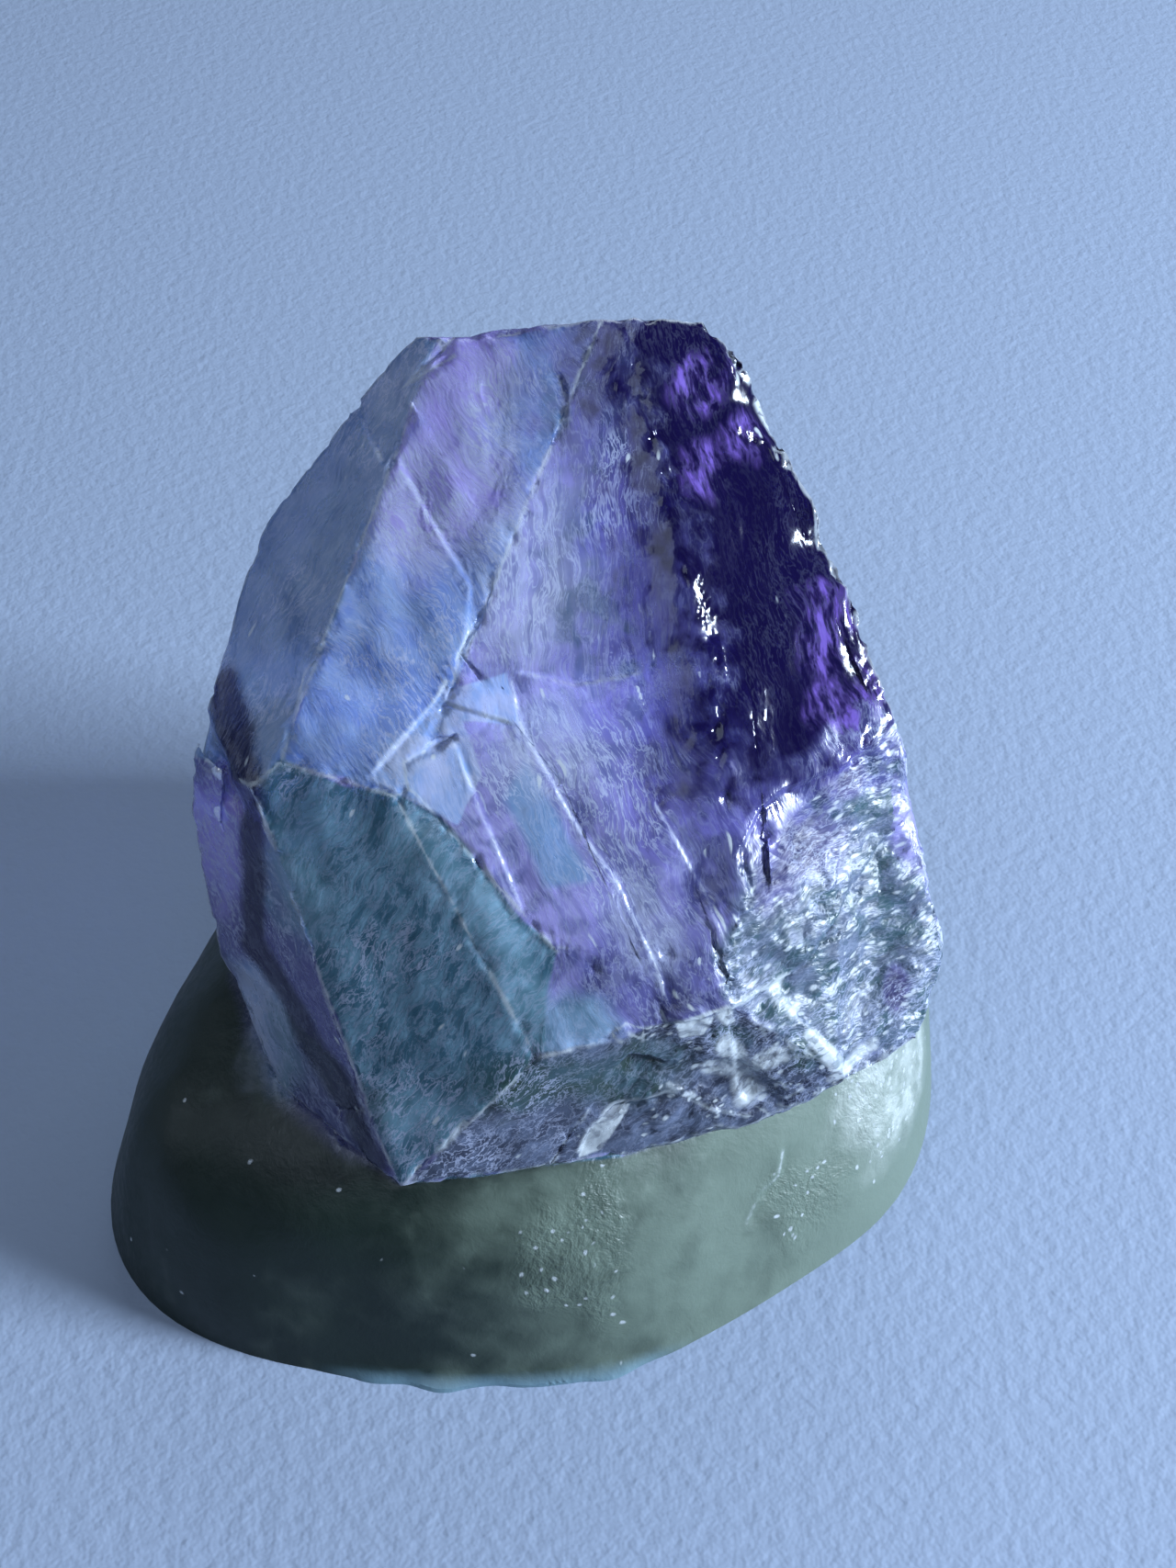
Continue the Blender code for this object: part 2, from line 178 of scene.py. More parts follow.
BROKEN = (
    RoughZone((13.6, -7.0, 18.4), 7.6, 1.0),
    RoughZone((17.0, -4.0, 13.6), 5.0, 1.0),
    RoughZone((7.4, -11.6, 15.0), 5.0, 0.9),
    RoughZone((12.4, -9.6, 13.6), 4.6, 1.0),
    RoughZone((16.6, -1.2, 22.2), 3.2, 0.7),
    RoughZone((15.6, 2.0, 26.4), 2.6, 0.6),
    RoughZone((13.6, 5.6, 30.0), 2.4, 0.6),
    RoughZone((10.8, 9.2, 33.6), 2.6, 0.7),
    RoughZone((0.0, 15.6, 20.0), 14.0, 0.7),
)
SPARED = RoughZone((11.9, -3.9, 21.9), 3.4, 0.35)  # a purple lobe that stayed smooth within the break
VIOLET_TEAR = 1.2  # mm, how ragged the border of the dark violet zone is
VIOLET_RIM = (-1.5, 0.8)  # mm of depth over which the dark violet sets in
FOOT_RIM = 0.10  # mm to each side over which the foot's colour sets in
GROWTH_RIM = 0.6  # depth at which a growth has its full colour
BLENDED = {Region.FRONT, Region.VIOLET, Region.FLANK, Region.LOWER}  # no bright edge between these
PAINTED = (Region.BLUE, Region.PALE, Region.TEAL, Region.SIDE, Region.FLANK, Region.TOE)  # own colours


@dataclass(frozen=True)
class Grain:
    """The way fibres and striations run on a region, and how many times longer than wide they are."""

    along: Point
    stretch: float


FAN = Grain((0.05, -0.76, -0.65), 6.0)  # fibres of the front above the fan's apex
FAN_APEX = (0.0, -1.0, 27.0)
GRAINS = {
    Region.FRONT: Grain((0.43, -0.69, -0.59), 6.0),
    Region.BLUE: Grain((0.55, -0.62, -0.52), 4.5),
    Region.PALE: Grain((-0.45, -0.60, -0.66), 4.0),
    Region.TEAL: Grain((-0.55, -0.45, -0.70), 3.2),
    Region.SIDE: Grain((0.49, -0.71, -0.50), 3.5),
    Region.LOWER: Grain((0.43, -0.60, -0.66), 3.0),
    Region.TOE: Grain((0.80, 0.30, 0.50), 2.2),
    Region.VIOLET: Grain((0.30, -0.72, -0.62), 4.0),
    Region.FLANK: Grain((0.83, 0.55, 0.05), 2.8),
    Region.REST: Grain((0.10, -0.20, -0.97), 4.0),
}


@dataclass(frozen=True)
class Scarp:
    """Edge of a split-off sheet: beyond it, to the right of its run, the surface lies lower; all in mm."""

    points: tuple[Point, ...]
    drop: float = 0.10
    reach: float = 1.5
    bright: float = 1.0
    brink: float = 0.10  # half width of its slope
    taper: float = 0.8  # how much of each end runs out
    light_taper: float = 0.6  # the same for its bright line
    feather: Span = (0.42, 0.22)  # half width of the bright line above and below the slope

    def lowering(self, points: np.ndarray) -> np.ndarray:
        """How far the surface lies lower at points, in mm."""
        at = lie(points, self.points)
        slope = np.clip(1.0 - at.away / self.reach, 0.0, 1.0)
        return self.drop * at.within(self.taper) * slope * ease(at.side, -self.brink, self.brink)

    def light(self, points: np.ndarray) -> np.ndarray:
        """How bright its edge shows at points: none beyond the feather."""
        at = lie(points, self.points)
        above, below = self.feather
        near = np.clip(1.0 - at.away / np.where(at.side > 0.0, below, above), 0.0, 1.0)
        return near * at.within(self.light_taper) * self.bright


SCARPS = {
    "long trace": Scarp(((6.3, -10.9, 18.1), (5.8, -9.7, 19.4), (4.1, -6.9, 21.9), (2.3, -5.0, 23.5),
                         (0.1, -2.1, 26.2), (-0.4, -0.3, 27.7)), 0.10, 1.8, 0.85),
    "second trace": Scarp(((8.6, -8.9, 20.0), (7.6, -7.0, 21.6), (5.3, -4.0, 24.3)), 0.07, 1.2, 0.7),
    "tongue": Scarp(((5.3, -0.2, 27.5), (2.3, -0.7, 27.2), (-0.4, -0.3, 27.7)), 0.10, 1.4, 0.7),
    "flake, left": Scarp(((-6.2, -3.7, 24.7), (-3.4, -1.3, 26.9), (-2.7, -0.4, 27.7)), 0.14, 1.6),
    "flake, top": Scarp(((-3.4, -1.3, 26.9), (0.1, -2.1, 26.2)), 0.12, 1.2),
    "flake, fold": Scarp(((0.3, -8.0, 21.3), (-1.9, -4.1, 24.7), (-2.9, -2.1, 26.3)), 0.10, 1.0, 0.8),
    "front brink": Scarp(((-6.2, -3.7, 24.7), (-4.7, -4.4, 24.5), (-3.2, -5.0, 23.9), (-1.7, -6.2, 22.9),
                          (-0.2, -8.1, 21.2), (1.3, -9.0, 20.4), (3.2, -8.9, 20.2)), 0.08, 1.0, 0.7),
    "blue rim": Scarp(((-2.7, -0.4, 27.7), (-2.1, 0.8, 28.6), (-2.0, 2.4, 29.9), (-3.7, 5.0, 31.2),
                       (-5.3, 7.7, 32.6)), 0.09, 1.6, 0.7),
    "scar rim": Scarp(((9.2, -6.3, 22.0), (9.1, -5.5, 22.6), (9.8, -4.1, 23.2), (10.7, -3.2, 23.4),
                       (13.1, -1.8, 23.3), (14.9, -0.8, 23.8)), 0.14, 2.0, 0.8),
    "scar foot": Scarp(((12.6, -2.5, 22.6), (11.5, -5.0, 21.6), (9.6, -7.0, 21.2)), 0.12, 1.2, 0.6),
    "toe brow": Scarp(((6.1, -11.1, 17.9), (7.6, -10.8, 18.1), (8.8, -10.4, 18.2), (10.7, -9.0, 18.1),
                       (11.5, -8.5, 18.2)), 0.22, 1.6, 1.4),
    "toe split": Scarp(((13.4, -10.6, 14.6), (13.1, -10.3, 15.1), (11.5, -9.8, 17.0), (10.7, -9.0, 18.1)),
                       0.24, 1.4, 0.9),
    "toe step": Scarp(((9.8, -11.5, 12.8), (9.3, -11.3, 13.4), (8.6, -10.7, 17.7)), 0.20, 1.4, 0.9),
    "toe flake": Scarp(((2.3, -13.3, 11.3), (2.9, -12.7, 12.9), (3.9, -12.3, 13.9), (6.2, -11.9, 14.3),
                        (7.7, -11.7, 13.5)), 0.24, 1.8, 1.2),
    "crest step": Scarp(((-5.6, 7.1, 32.1), (-6.8, 10.4, 32.4)), 0.18, 1.4),
    "foot arc": Scarp(((9.9, -12.4, 3.8), (10.7, -11.2, 5.0), (11.5, -10.4, 5.4), (11.7, -9.4, 6.8)),
                      0.12, 1.0, 0.8),
    "violet step": Scarp(((6.3, 5.8, 32.3), (6.1, 6.9, 33.2), (3.8, 9.3, 35.5)), 0.10, 1.4, 0.5),
    "violet step 2": Scarp(((8.6, -0.6, 26.5), (8.4, 0.9, 27.8), (6.9, 3.0, 30.0)), 0.04, 1.2, 0.4),
}


@dataclass(frozen=True)
class Lie:
    """How points lie to a line: the distance to it, the length of it passed and the side, in mm."""

    away: np.ndarray
    run: np.ndarray
    side: np.ndarray
    length: float

    def within(self, taper: float) -> np.ndarray:
        """1 between the line's ends, falling to 0 over the last mm of each."""
        return ease(self.run, 0.0, taper) * ease(self.run, self.length, self.length - taper)


def lie(points: np.ndarray, line: Sequence[Point]) -> Lie:
    """Measures points against a bent line on the surface.

    Args:
        points: Places in mm.
        line: The line's corners in mm.

    Returns:
        Distance, length run along the line, and offset to the right of the run seen from outside.
    """
    corners = np.array(line)
    away = np.full(len(points), np.inf)
    run = np.zeros(len(points))
    side = np.zeros(len(points))
    passed = 0.0
    for start, end in zip(corners, corners[1:]):
        span = np.linalg.norm(end - start)
        along = (end - start) / span
        middle = (start + end) / 2 - np.array(CLEAVAGE_ORIGIN)
        outward = max(CLEAVAGE, key=lambda f: middle @ f.normal - f.distance).normal
        held = np.clip((points - start) @ along, 0.0, span)
        offset = points - start - held[:, None] * along
        distance = np.linalg.norm(offset, axis=1)
        closer = distance < away
        away = np.where(closer, distance, away)
        run = np.where(closer, passed + held, run)
        side = np.where(closer, offset @ np.cross(along, outward), side)
        passed += span
    return Lie(away, run, side, passed)


@dataclass(frozen=True)
class Cloud:
    """A spot of another colour inside the stone: its centre and half sizes in mm."""

    centre: Point
    size: Point

    def depth(self, points: np.ndarray, wander: np.ndarray) -> np.ndarray:
        """How deep inside the spot points lie: 1 at its centre, 0 at its straying border."""
        moved = points + wander * min(0.9, 0.4 * min(self.size)) - np.array(self.centre)
        return 1.0 - np.linalg.norm(moved / np.array(self.size), axis=1)


@dataclass(frozen=True)
class Vein:
    """A band of another colour along a bent line of points, all in mm."""

    points: tuple[Point, ...]
    half_width: float

    def depth(self, points: np.ndarray, wander: np.ndarray) -> np.ndarray:
        """How deep inside the band points lie: 1 on its line, 0 at its border."""
        return 1.0 - lie(points + wander * 0.25, self.points).away / self.half_width


@dataclass(frozen=True)
class Sheet:
    """A split-off flake with straight sides: its corners in mm, anticlockwise seen from outside."""

    corners: tuple[Point, ...]
    softness: float = 0.25
    thickness: float = 1.6

    def depth(self, points: np.ndarray, wander: np.ndarray) -> np.ndarray:
        """How far inside its sides points lie: 1 within, 0 at its border."""
        corners = np.array(self.corners)
        moved = points + wander * 0.08 - corners.mean(axis=0)
        local = corners - corners.mean(axis=0)
        outward = np.cross(local, np.roll(local, -1, axis=0)).sum(axis=0)
        outward /= np.linalg.norm(outward)
        inside = self.thickness - np.abs(moved @ outward)
        for start, end in zip(local, np.roll(local, -1, axis=0)):
            inward = np.cross(outward, (end - start) / np.linalg.norm(end - start))
            inside = np.minimum(inside, (moved - start) @ inward)
        return inside / self.softness


class Growth(Enum):
    """Colours laid down as the stone grew, with some painted light among them: the foot's glow and sparkle
    and one lit cloud; each value names the attribute of its depth.
    """

    LIGHT = "light"
    VEIL = "veil"
    PURPLE = "purple"
    DUSK = "dusk"
    WINDOW = "window"
    WASH = "wash"
    MURK = "murk"
    DARK = "dark"
    GREEN = "green"
    ROYAL = "royal"
    WHITE = "white"
    GLOW = "glow"
    SPARKLE = "sparkle"


GROWTHS: dict[Growth, tuple[Cloud | Vein | Sheet, ...]] = {
    Growth.LIGHT: (
        Sheet(((-6.2, -3.7, 24.7), (-2.4, -5.3, 23.6), (-1.4, -3.6, 25.0), (-2.9, -0.6, 27.5))),
        Sheet(((-2.9, -0.9, 27.3), (-2.6, -2.0, 26.4), (0.1, -2.1, 26.2), (-0.5, -0.3, 27.7))),
        # painted light: this cloud brightens a strip on the stone's shaded left side; the sheets above are
        # pale split-off flakes
        Cloud((-11.9, -7.2, 12.6), (2.2, 3.6, 4.4)),
    ),
    Growth.WASH: (
        Cloud((-11.0, -7.6, 12.6), (3.4, 4.6, 4.2)),
        Cloud((-9.4, -5.4, 20.4), (2.8, 3.2, 4.2)),
        Vein(((-4.6, -5.6, 23.0), (-1.8, -7.3, 21.4), (-0.2, -9.4, 19.6), (0.6, -11.0, 18.0)), 1.3),
        Cloud((-2.6, -13.0, 13.6), (4.4, 2.2, 2.2)),
        Cloud((2.0, -11.2, 18.2), (2.8, 2.4, 2.4)),
    ),
    Growth.MURK: (
        Cloud((1.4, -12.2, 15.8), (5.6, 1.8, 1.9)),
        Cloud((4.9, -11.8, 15.6), (3.2, 1.8, 2.1)),
        Cloud((12.1, -10.6, 15.4), (1.5, 1.4, 1.5)),
        Cloud((8.8, -10.9, 16.8), (1.5, 1.2, 1.0)),
    ),
    Growth.VEIL: (
        Cloud((0.0, 3.0, 30.4), (2.6, 5.5, 5.0)),
        Cloud((-1.0, 8.0, 34.0), (1.6, 4.0, 3.2)),
        Cloud((0.6, -2.6, 25.8), (2.6, 3.4, 3.2)),
        Cloud((-5.0, 10.2, 33.6), (2.6, 2.4, 2.2)),
        Cloud((5.0, -8.2, 21.0), (2.4, 3.6, 3.2)),
        Cloud((-12.0, -7.0, 12.4), (1.9, 3.0, 3.4)),
        Cloud((-4.0, 5.4, 31.4), (3.4, 4.4, 3.8)),
    ),
    Growth.PURPLE: (
        Cloud((-3.2, 6.0, 32.2), (4.0, 5.6, 4.8)),
        Cloud((-2.6, 9.6, 34.4), (3.0, 4.2, 3.4)),
        Cloud((-6.0, 10.4, 33.4), (4.2, 5.0, 3.6)),
        Cloud((11.6, -4.7, 21.7), (3.6, 3.4, 2.9)),
        Cloud((13.6, -2.0, 23.2), (2.2, 1.4, 1.2)),
        Cloud((16.2, -7.6, 15.4), (0.9, 1.2, 1.8)),
        Cloud((-13.4, -2.6, 19.6), (2.6, 3.2, 4.4)),
        Cloud((4.4, 0.2, 27.7), (2.0, 1.6, 1.4)),
        Cloud((4.6, 4.6, 31.2), (1.5, 2.0, 1.8)),
    ),
    Growth.DUSK: (
        Cloud((5.4, -9.6, 19.4), (5.0, 3.2, 3.0)),
        Cloud((11.4, -3.2, 23.2), (3.6, 4.2, 2.6)),
        Cloud((5.4, 2.4, 29.8), (2.8, 5.6, 5.0)),
        Cloud((7.2, -2.6, 25.6), (3.2, 4.8, 4.2)),
        Cloud((8.6, -6.4, 22.0), (2.4, 3.4, 3.2)),
    ),
    Growth.DARK: (
        Vein(((-12.8, 1.8, 24.4), (-11.9, -0.8, 24.0), (-11.2, -2.8, 23.0)), 1.5),
        Vein(((-11.2, -2.8, 23.0), (-11.3, -4.2, 20.2), (-11.5, -5.1, 17.2)), 1.15),
        Vein(((-11.6, -5.5, 16.4), (-10.5, -6.9, 15.6), (-9.3, -8.7, 14.6), (-7.9, -10.6, 13.2),
              (-6.9, -12.3, 12.2), (-6.2, -13.3, 11.5)), 1.2),
    ),
    Growth.WINDOW: (
        Sheet(((0.9, -7.4, 21.8), (3.4, -7.0, 21.9), (2.0, -4.9, 23.6), (0.2, -2.6, 25.8),
               (-0.9, -4.4, 24.4)), 0.9),
    ),
    Growth.GREEN: (
        Cloud((2.6, 2.6, 30.0), (2.6, 4.8, 4.4)),
        Cloud((4.6, 0.5, 28.0), (3.0, 1.6, 1.5)),
        Cloud((3.0, 8.2, 34.6), (3.0, 5.0, 4.4)),
    ),
    Growth.ROYAL: (
        Cloud((13.0, 2.2, 27.4), (1.9, 2.6, 2.3)),
        Cloud((13.8, -0.2, 25.2), (2.1, 2.0, 1.8)),
        Cloud((7.8, 6.8, 32.6), (1.6, 1.8, 1.6)),
        Cloud((7.4, 9.6, 34.6), (1.8, 1.8, 1.4)),
        Cloud((9.4, 8.2, 32.9), (1.3, 1.4, 1.2)),
    ),
    Growth.WHITE: (
        Sheet(((2.3, -13.3, 11.3), (3.4, -13.0, 11.6), (4.0, -12.7, 12.6), (4.8, -12.2, 13.9),
               (3.9, -12.3, 13.9), (2.9, -12.7, 12.9)), 0.2, 1.2),
        Sheet(((6.6, -11.2, 17.0), (7.6, -11.0, 17.0), (8.1, -10.7, 18.0), (6.3, -10.9, 18.1)), 0.2, 1.2),
        Vein(((8.4, -10.5, 18.1), (8.9, -10.9, 17.3)), 0.5),
        Vein(((8.6, -11.0, 16.3), (9.2, -11.2, 14.8), (9.6, -11.4, 13.4)), 0.75),
        Vein(((8.0, -11.1, 15.0), (9.4, -11.2, 14.9), (10.8, -11.0, 15.6)), 0.7),
        Vein(((10.6, -9.1, 18.0), (11.5, -9.8, 17.0)), 0.5),
        Vein(((12.2, -10.1, 16.0), (13.4, -10.6, 14.6)), 0.5),
        Vein(((13.4, -10.8, 13.8), (15.0, -9.6, 14.2)), 0.45),
        Vein(((10.2, 9.9, 33.2), (11.2, 8.6, 32.0)), 0.6),
    ),
    Growth.GLOW: (
        # painted glow: the foot's lit right end, made bright in its colour
        Cloud((17.4, -5.4, 6.0), (4.6, 6.4, 4.8)),
    ),
    Growth.SPARKLE: (
        # painted glints: bright flakes and extra grit where the foot sparkles in the light
        Cloud((16.6, -5.6, 6.6), (4.4, 4.4, 3.4)),
        Cloud((3.4, -14.6, 7.0), (1.6, 4.6, 6.4)),
        Cloud((12.8, -10.4, 3.6), (3.0, 3.6, 3.0)),
        Cloud((1.2, -15.6, 6.6), (2.6, 2.6, 4.0)),
    ),
}


@dataclass(frozen=True)
class Border:
    """A plane that bounds a growth zone: a place on it in mm, the way in, and how fast depth grows."""

    place: Point
    inward: Point
    steepness: float = 1.0

    def depth(self, points: np.ndarray) -> np.ndarray:
        """How deep points lie in the zone."""
        return (points - np.array(self.place)) @ np.array(self.inward) * self.steepness


VIOLET_BORDERS = (
    Border((6.0, 4.0, 31.0), (0.973, 0.171, 0.158), 0.5),
    Border((9.4, -3.2, 24.1), (-0.42, 0.66, 0.62)),
)


@dataclass(frozen=True)
class Wave:
    """Smooth noise: how many waves to the mm, and its height in mm."""

    pitch: float
    height: float


@dataclass(frozen=True)
class Patches:
    """Patches of several sizes: how many to the mm, how fast smaller ones fade, and how many sizes."""

    pitch: float
    fade: float
    sizes: int

    def tone(self, points: np.ndarray) -> np.ndarray:
        """Their tone at points, about -1 to 1."""
        return np.array([noise.fractal(Vector(p) * self.pitch, self.fade, 2.0, self.sizes) for p in points])


@dataclass(frozen=True)
class Splinters:
    """Small tilted planes that make up a fracture: their size and depth in mm."""

    size: float
    depth: float
    drawn: float  # share of their length that is taken up by stretching them along the scar
    mixing: float = 5.3  # gives neighbouring planes different tilts
    slope: float = 2.0

    def height(self, p: Vector, scar: Vector) -> float:
        """How far they stand out at a place, in mm.

        Args:
            p: The place in mm.
            scar: The way the scar runs.

        Returns:
            The height in mm.
        """
        q = (p - scar * p.dot(scar) * self.drawn) / self.size
        centre = noise.voronoi(q)[1][0]
        tilt = noise.cell_vector(centre * self.mixing) - Vector((0.5, 0.5, 0.5))
        return (q - centre).dot(tilt) * self.slope * self.depth


SPLINTERS = (Splinters(0.52, 0.11, 0.8), Splinters(0.30, 0.045, 0.5))
BREAK_SWELL = (Wave(0.45, 0.16), Wave(1.1, 0.08))
FOOT_SWELL = (Wave(0.35, 0.10), Wave(1.3, 0.02))
RIPPLE = (Wave(0.7, 0.035),)
EDGE_BITES = (Wave(1.4, 0.32), Wave(3.1, 0.128))
LIP_SWELL = (Wave(0.4, 0.8),)
TERRACE_AXES = (Vector((0.5, 0.0, 0.25)), Vector((0.0, 0.3, 0.0)), Vector((-0.2, 0.0, 0.35)))
BROAD_PATCHES = Patches(0.2, 0.8, 4)
SMALL_PATCHES = Patches(0.9, 0.7, 3)
EDGE_SAMPLING = 0.3  # mm between the places that stand for a crisp edge
GROUND = 0.02  # mm; what lies lower stays on the ground


def swell(waves: Sequence[Wave], p: Vector) -> float:
    """Height of some waves together at a place, in mm."""
    return sum(noise.noise(p * wave.pitch) * wave.height for wave in waves)


@dataclass
class CrystalBody:
    """The whole stone as one closed mesh, with the relief that its surfaces carry; lengths in mm."""

    node: str = "fluorite"
    weld: float = 0.001
    noise_seed: int = 3
    noise_shift: float = 3.7  # moves the relief's noise along the stone

    # where the foot and the back start
    foot_top: float = 14.5
    crown_skin: float = 0.22  # the crown's own steps stand out less than this
    back: float = 9.0
    broken_level: float = 0.3  # how broken a place is that counts as rough

    # which edges stay crisp, by their angle in degrees and their distance to two faces or to the joint
    facet_angle: float = 8.0
    joint_angle: float = 25.0
    face_gap: float = 0.12
    face_reach: float = 0.3
    joint_middle: float = -0.1
    joint_reach: float = 0.35
    base_height: float = 0.3

    # how long the mesh's edges may be, place by place
    splits: int = 6
    crown_edge: float = 0.42
    broken_edge: float = 0.24
    foot_edge: float = 0.75
    back_edge: float = 0.70
    broken_back_edge: float = 0.5
    scarp_edge: float = 0.17
    rim_edge: float = 0.30
    base_edge: float = 3.0
    scarp_width: float = 0.45
    rim_width: float = 0.5
    rim_floor: float = 1.0  # rims lower than this stay coarse
    base_rim: float = 0.3
    base_top: float = 0.05
    foot_rim: float = 0.4
    shade_angle: float = 26.0

    # relief
    healing: float = 0.88  # share by which the solid's steps are filled
    healed_depth: float = 1.0  # deeper steps are left
    worn_from: float = 0.2
    crown_smoothing: int = 6
    foot_smoothing: int = 40
    bend: float = 0.7  # how far splinters are bent
    bend_pitch: float = 0.6
    worn_within: float = 0.8
    terrace_depth: float = 0.03
    terrace_levels: float = 5.0
    terrace_slope: float = 4.0
    bite_skipped: float = 0.016  # shallower bites out of an edge are left out
    bite_reach: float = 0.28
    bite_floor: float = 2.0
    ground_fade: float = 1.5  # height over which relief sets in
    lip_reach: float = 0.55
    lip_share: float = 0.6  # share of the reach that does not vary
    lip_height: Span = (0.55, 0.05)
    lip_front: Span = (-12.5, -15.0)
    lip_sides: Span = (9.0, 5.0)
    lip_middle: float = -1.0

    # how far the borders of the colours stray, and the largest depths that guides hold
    broad_wander: Wave = Wave(0.38, 1.3)
    fine_wander: Wave = Wave(1.1, 0.55)
    sharp_wander: float = 0.2
    foot_wander: float = 0.15
    right_wander: float = 2.0
    grain_wander: float = 0.35
    margin_limit: float = 6.0
    violet_limit: float = 4.0
    near_limit: float = 3.0
    left_fade: Span = (-1.0, -8.0)  # the foot's colour sets in softly from here on to the left
    left_softness: float = 0.9

    # shares of bright flakes (white chips and painted glints), cover of bright threads, and extra height of
    # the grit
    crown_glint_chips: float = 0.012
    foot_glint_chips: float = 0.003
    broken_glint_chips: float = 0.30
    sparkle_flakes: float = 0.10
    glow_glint_chips: float = 0.3
    smooth_growth: float = 0.9
    smooth_violet: float = 0.7
    clear_cover: float = 0.30
    cloud_cover: float = 0.55
    cloud_rim: Span = (-0.15, 0.2)
    violet_hides: float = 0.93
    dusk_hides: float = 0.55
    dark_hides: float = 0.8
    bright_grit: float = 4.0
    broken_grit: float = 1.5

    # grain
    fan_rise: float = 2.0  # mm to each side of the apex over which fibres turn
    region_shift: float = 7.0  # keeps the grain of regions apart
    foot_grain: float = 0.8

    crisp: np.ndarray = field(init=False)

    def build(self) -> bpy.types.Object:
        """Makes the mesh from the frame's solid.

        Returns:
            The new object.
        """
        noise.seed_set(self.noise_seed)  # otherwise noise vectors differ from run to run
        bm = bmesh.new()
        bm.from_mesh(frame["nodes"][self.node].data)
        bmesh.ops.remove_doubles(bm, verts=bm.verts[:], dist=self.weld * MM)
        self.mark_edges(bm)
        self.refine(bm)
        self.soften(bm)
        self.carve(bm)
        mesh = bpy.data.meshes.new("fluorite_crystal")
        bm.to_mesh(mesh)
        bm.free()
        mesh.shade_smooth()
        mesh.set_sharp_from_angle(angle=math.radians(self.shade_angle))
        self.write_guides(mesh)
        made = bpy.data.objects.new("fluorite_crystal", mesh)
        bpy.context.scene.collection.objects.link(made)
        return made

    @staticmethod
    def coordinates(bm: bmesh.types.BMesh) -> np.ndarray:
        """Every vertex in mm."""
        return np.array([v.co for v in bm.verts]) / MM

    @staticmethod
    def brokenness(points: np.ndarray) -> np.ndarray:
        """How broken the surface is at points, from 0 to 1.

        Args:
            points: Places in mm.

        Returns:
            One number for each point.
        """
        broken = np.max([zone.share(points) for zone in BROKEN], axis=0)
        return broken * (1.0 - SPARED.share(points))

    @staticmethod
    def heights(points: np.ndarray) -> np.ndarray:
        """How far points lie outside each cleavage face.

        Args:
            points: Places in mm.

        Returns:
            One row for each face, one column for each point.
        """
        local = points - np.array(CLEAVAGE_ORIGIN)
        return np.array([local @ f.normal - f.distance for f in CLEAVAGE])

    def footness(self, points: np.ndarray) -> np.ndarray:
        """How far points stand outside the crown, in mm: above zero on the foot."""
        outside = self.heights(points).max(axis=0)
        return np.where(points[:, 2] < self.foot_top, outside - self.crown_skin, -1.0)

    def mark_edges(self, bm: bmesh.types.BMesh) -> None:
        """Marks the edges that stay crisp: between cleavage faces, round the foot and round the base."""
        bm.normal_update()
        middles = np.array([(e.verts[0].co + e.verts[1].co) / 2 for e in bm.edges]) / MM
        foot = self.footness(middles)
        heights = self.heights(middles)
        order = np.argsort(-heights, axis=0)[:2]
        for i, edge in enumerate(bm.edges):
            angle = math.degrees(edge.calc_face_angle(0.0))
            first, second = (CLEAVAGE[k].region for k in order[:, i])
            gap = heights[order[0, i], i] - heights[order[1, i], i]
            between = gap < self.face_gap and abs(heights[order[0, i], i]) < self.face_reach
            joint = abs(foot[i] - self.joint_middle) < self.joint_reach and angle > self.joint_angle
            base = middles[i, 2] < self.base_height
            edge.smooth = not (angle > self.facet_angle and (between or joint or base))
            edge.seam = not edge.smooth and not (first in BLENDED and second in BLENDED)

    def longest(self, points: np.ndarray, near: np.ndarray) -> np.ndarray:
        """How long edges may be at points, in mm.

        Args:
            points: Places in mm.
            near: Distance in mm from each point to the nearest crisp edge.

        Returns:
            One length for each point.
        """
        rear = points[:, 1] > self.back
        rough = self.brokenness(points) > self.broken_level
        step = np.min([lie(points, scarp.points).away for scarp in SCARPS.values()], axis=0)
        length = np.full(len(points), self.crown_edge)
        length[rear] = self.back_edge
        length[self.footness(points) > self.foot_rim] = self.foot_edge
        length[(near < self.rim_width) & (points[:, 2] > self.rim_floor)] = self.rim_edge
        length[self.lip(points) > 0.0] = self.rim_edge
        length[step < self.scarp_width] = self.scarp_edge
        length[rough] = self.broken_edge
        length[rear & rough] = self.broken_back_edge
        length[(points[:, 2] < self.base_top) & (near > self.base_rim)] = self.base_edge
        return length

    def refine(self, bm: bmesh.types.BMesh) -> None:
        """Splits edges until the mesh is fine enough to carry the relief."""
        for _ in range(self.splits):
            co = self.coordinates(bm)
            ends = np.array([(e.verts[0].index, e.verts[1].index) for e in bm.edges])
            middles = (co[ends[:, 0]] + co[ends[:, 1]]) / 2
            length = np.linalg.norm(co[ends[:, 0]] - co[ends[:, 1]], axis=1)
            limit = self.longest(middles, self.edge_distance(bm, middles))
            bm.edges.ensure_lookup_table()
            chosen = [bm.edges[i] for i in np.nonzero(length > limit)[0]]
            if not chosen:
                break
            bmesh.ops.subdivide_edges(bm, edges=chosen, cuts=1, use_single_edge=True)
            bmesh.ops.triangulate(bm, faces=bm.faces[:], quad_method="SHORT_EDGE")
            bm.verts.index_update()

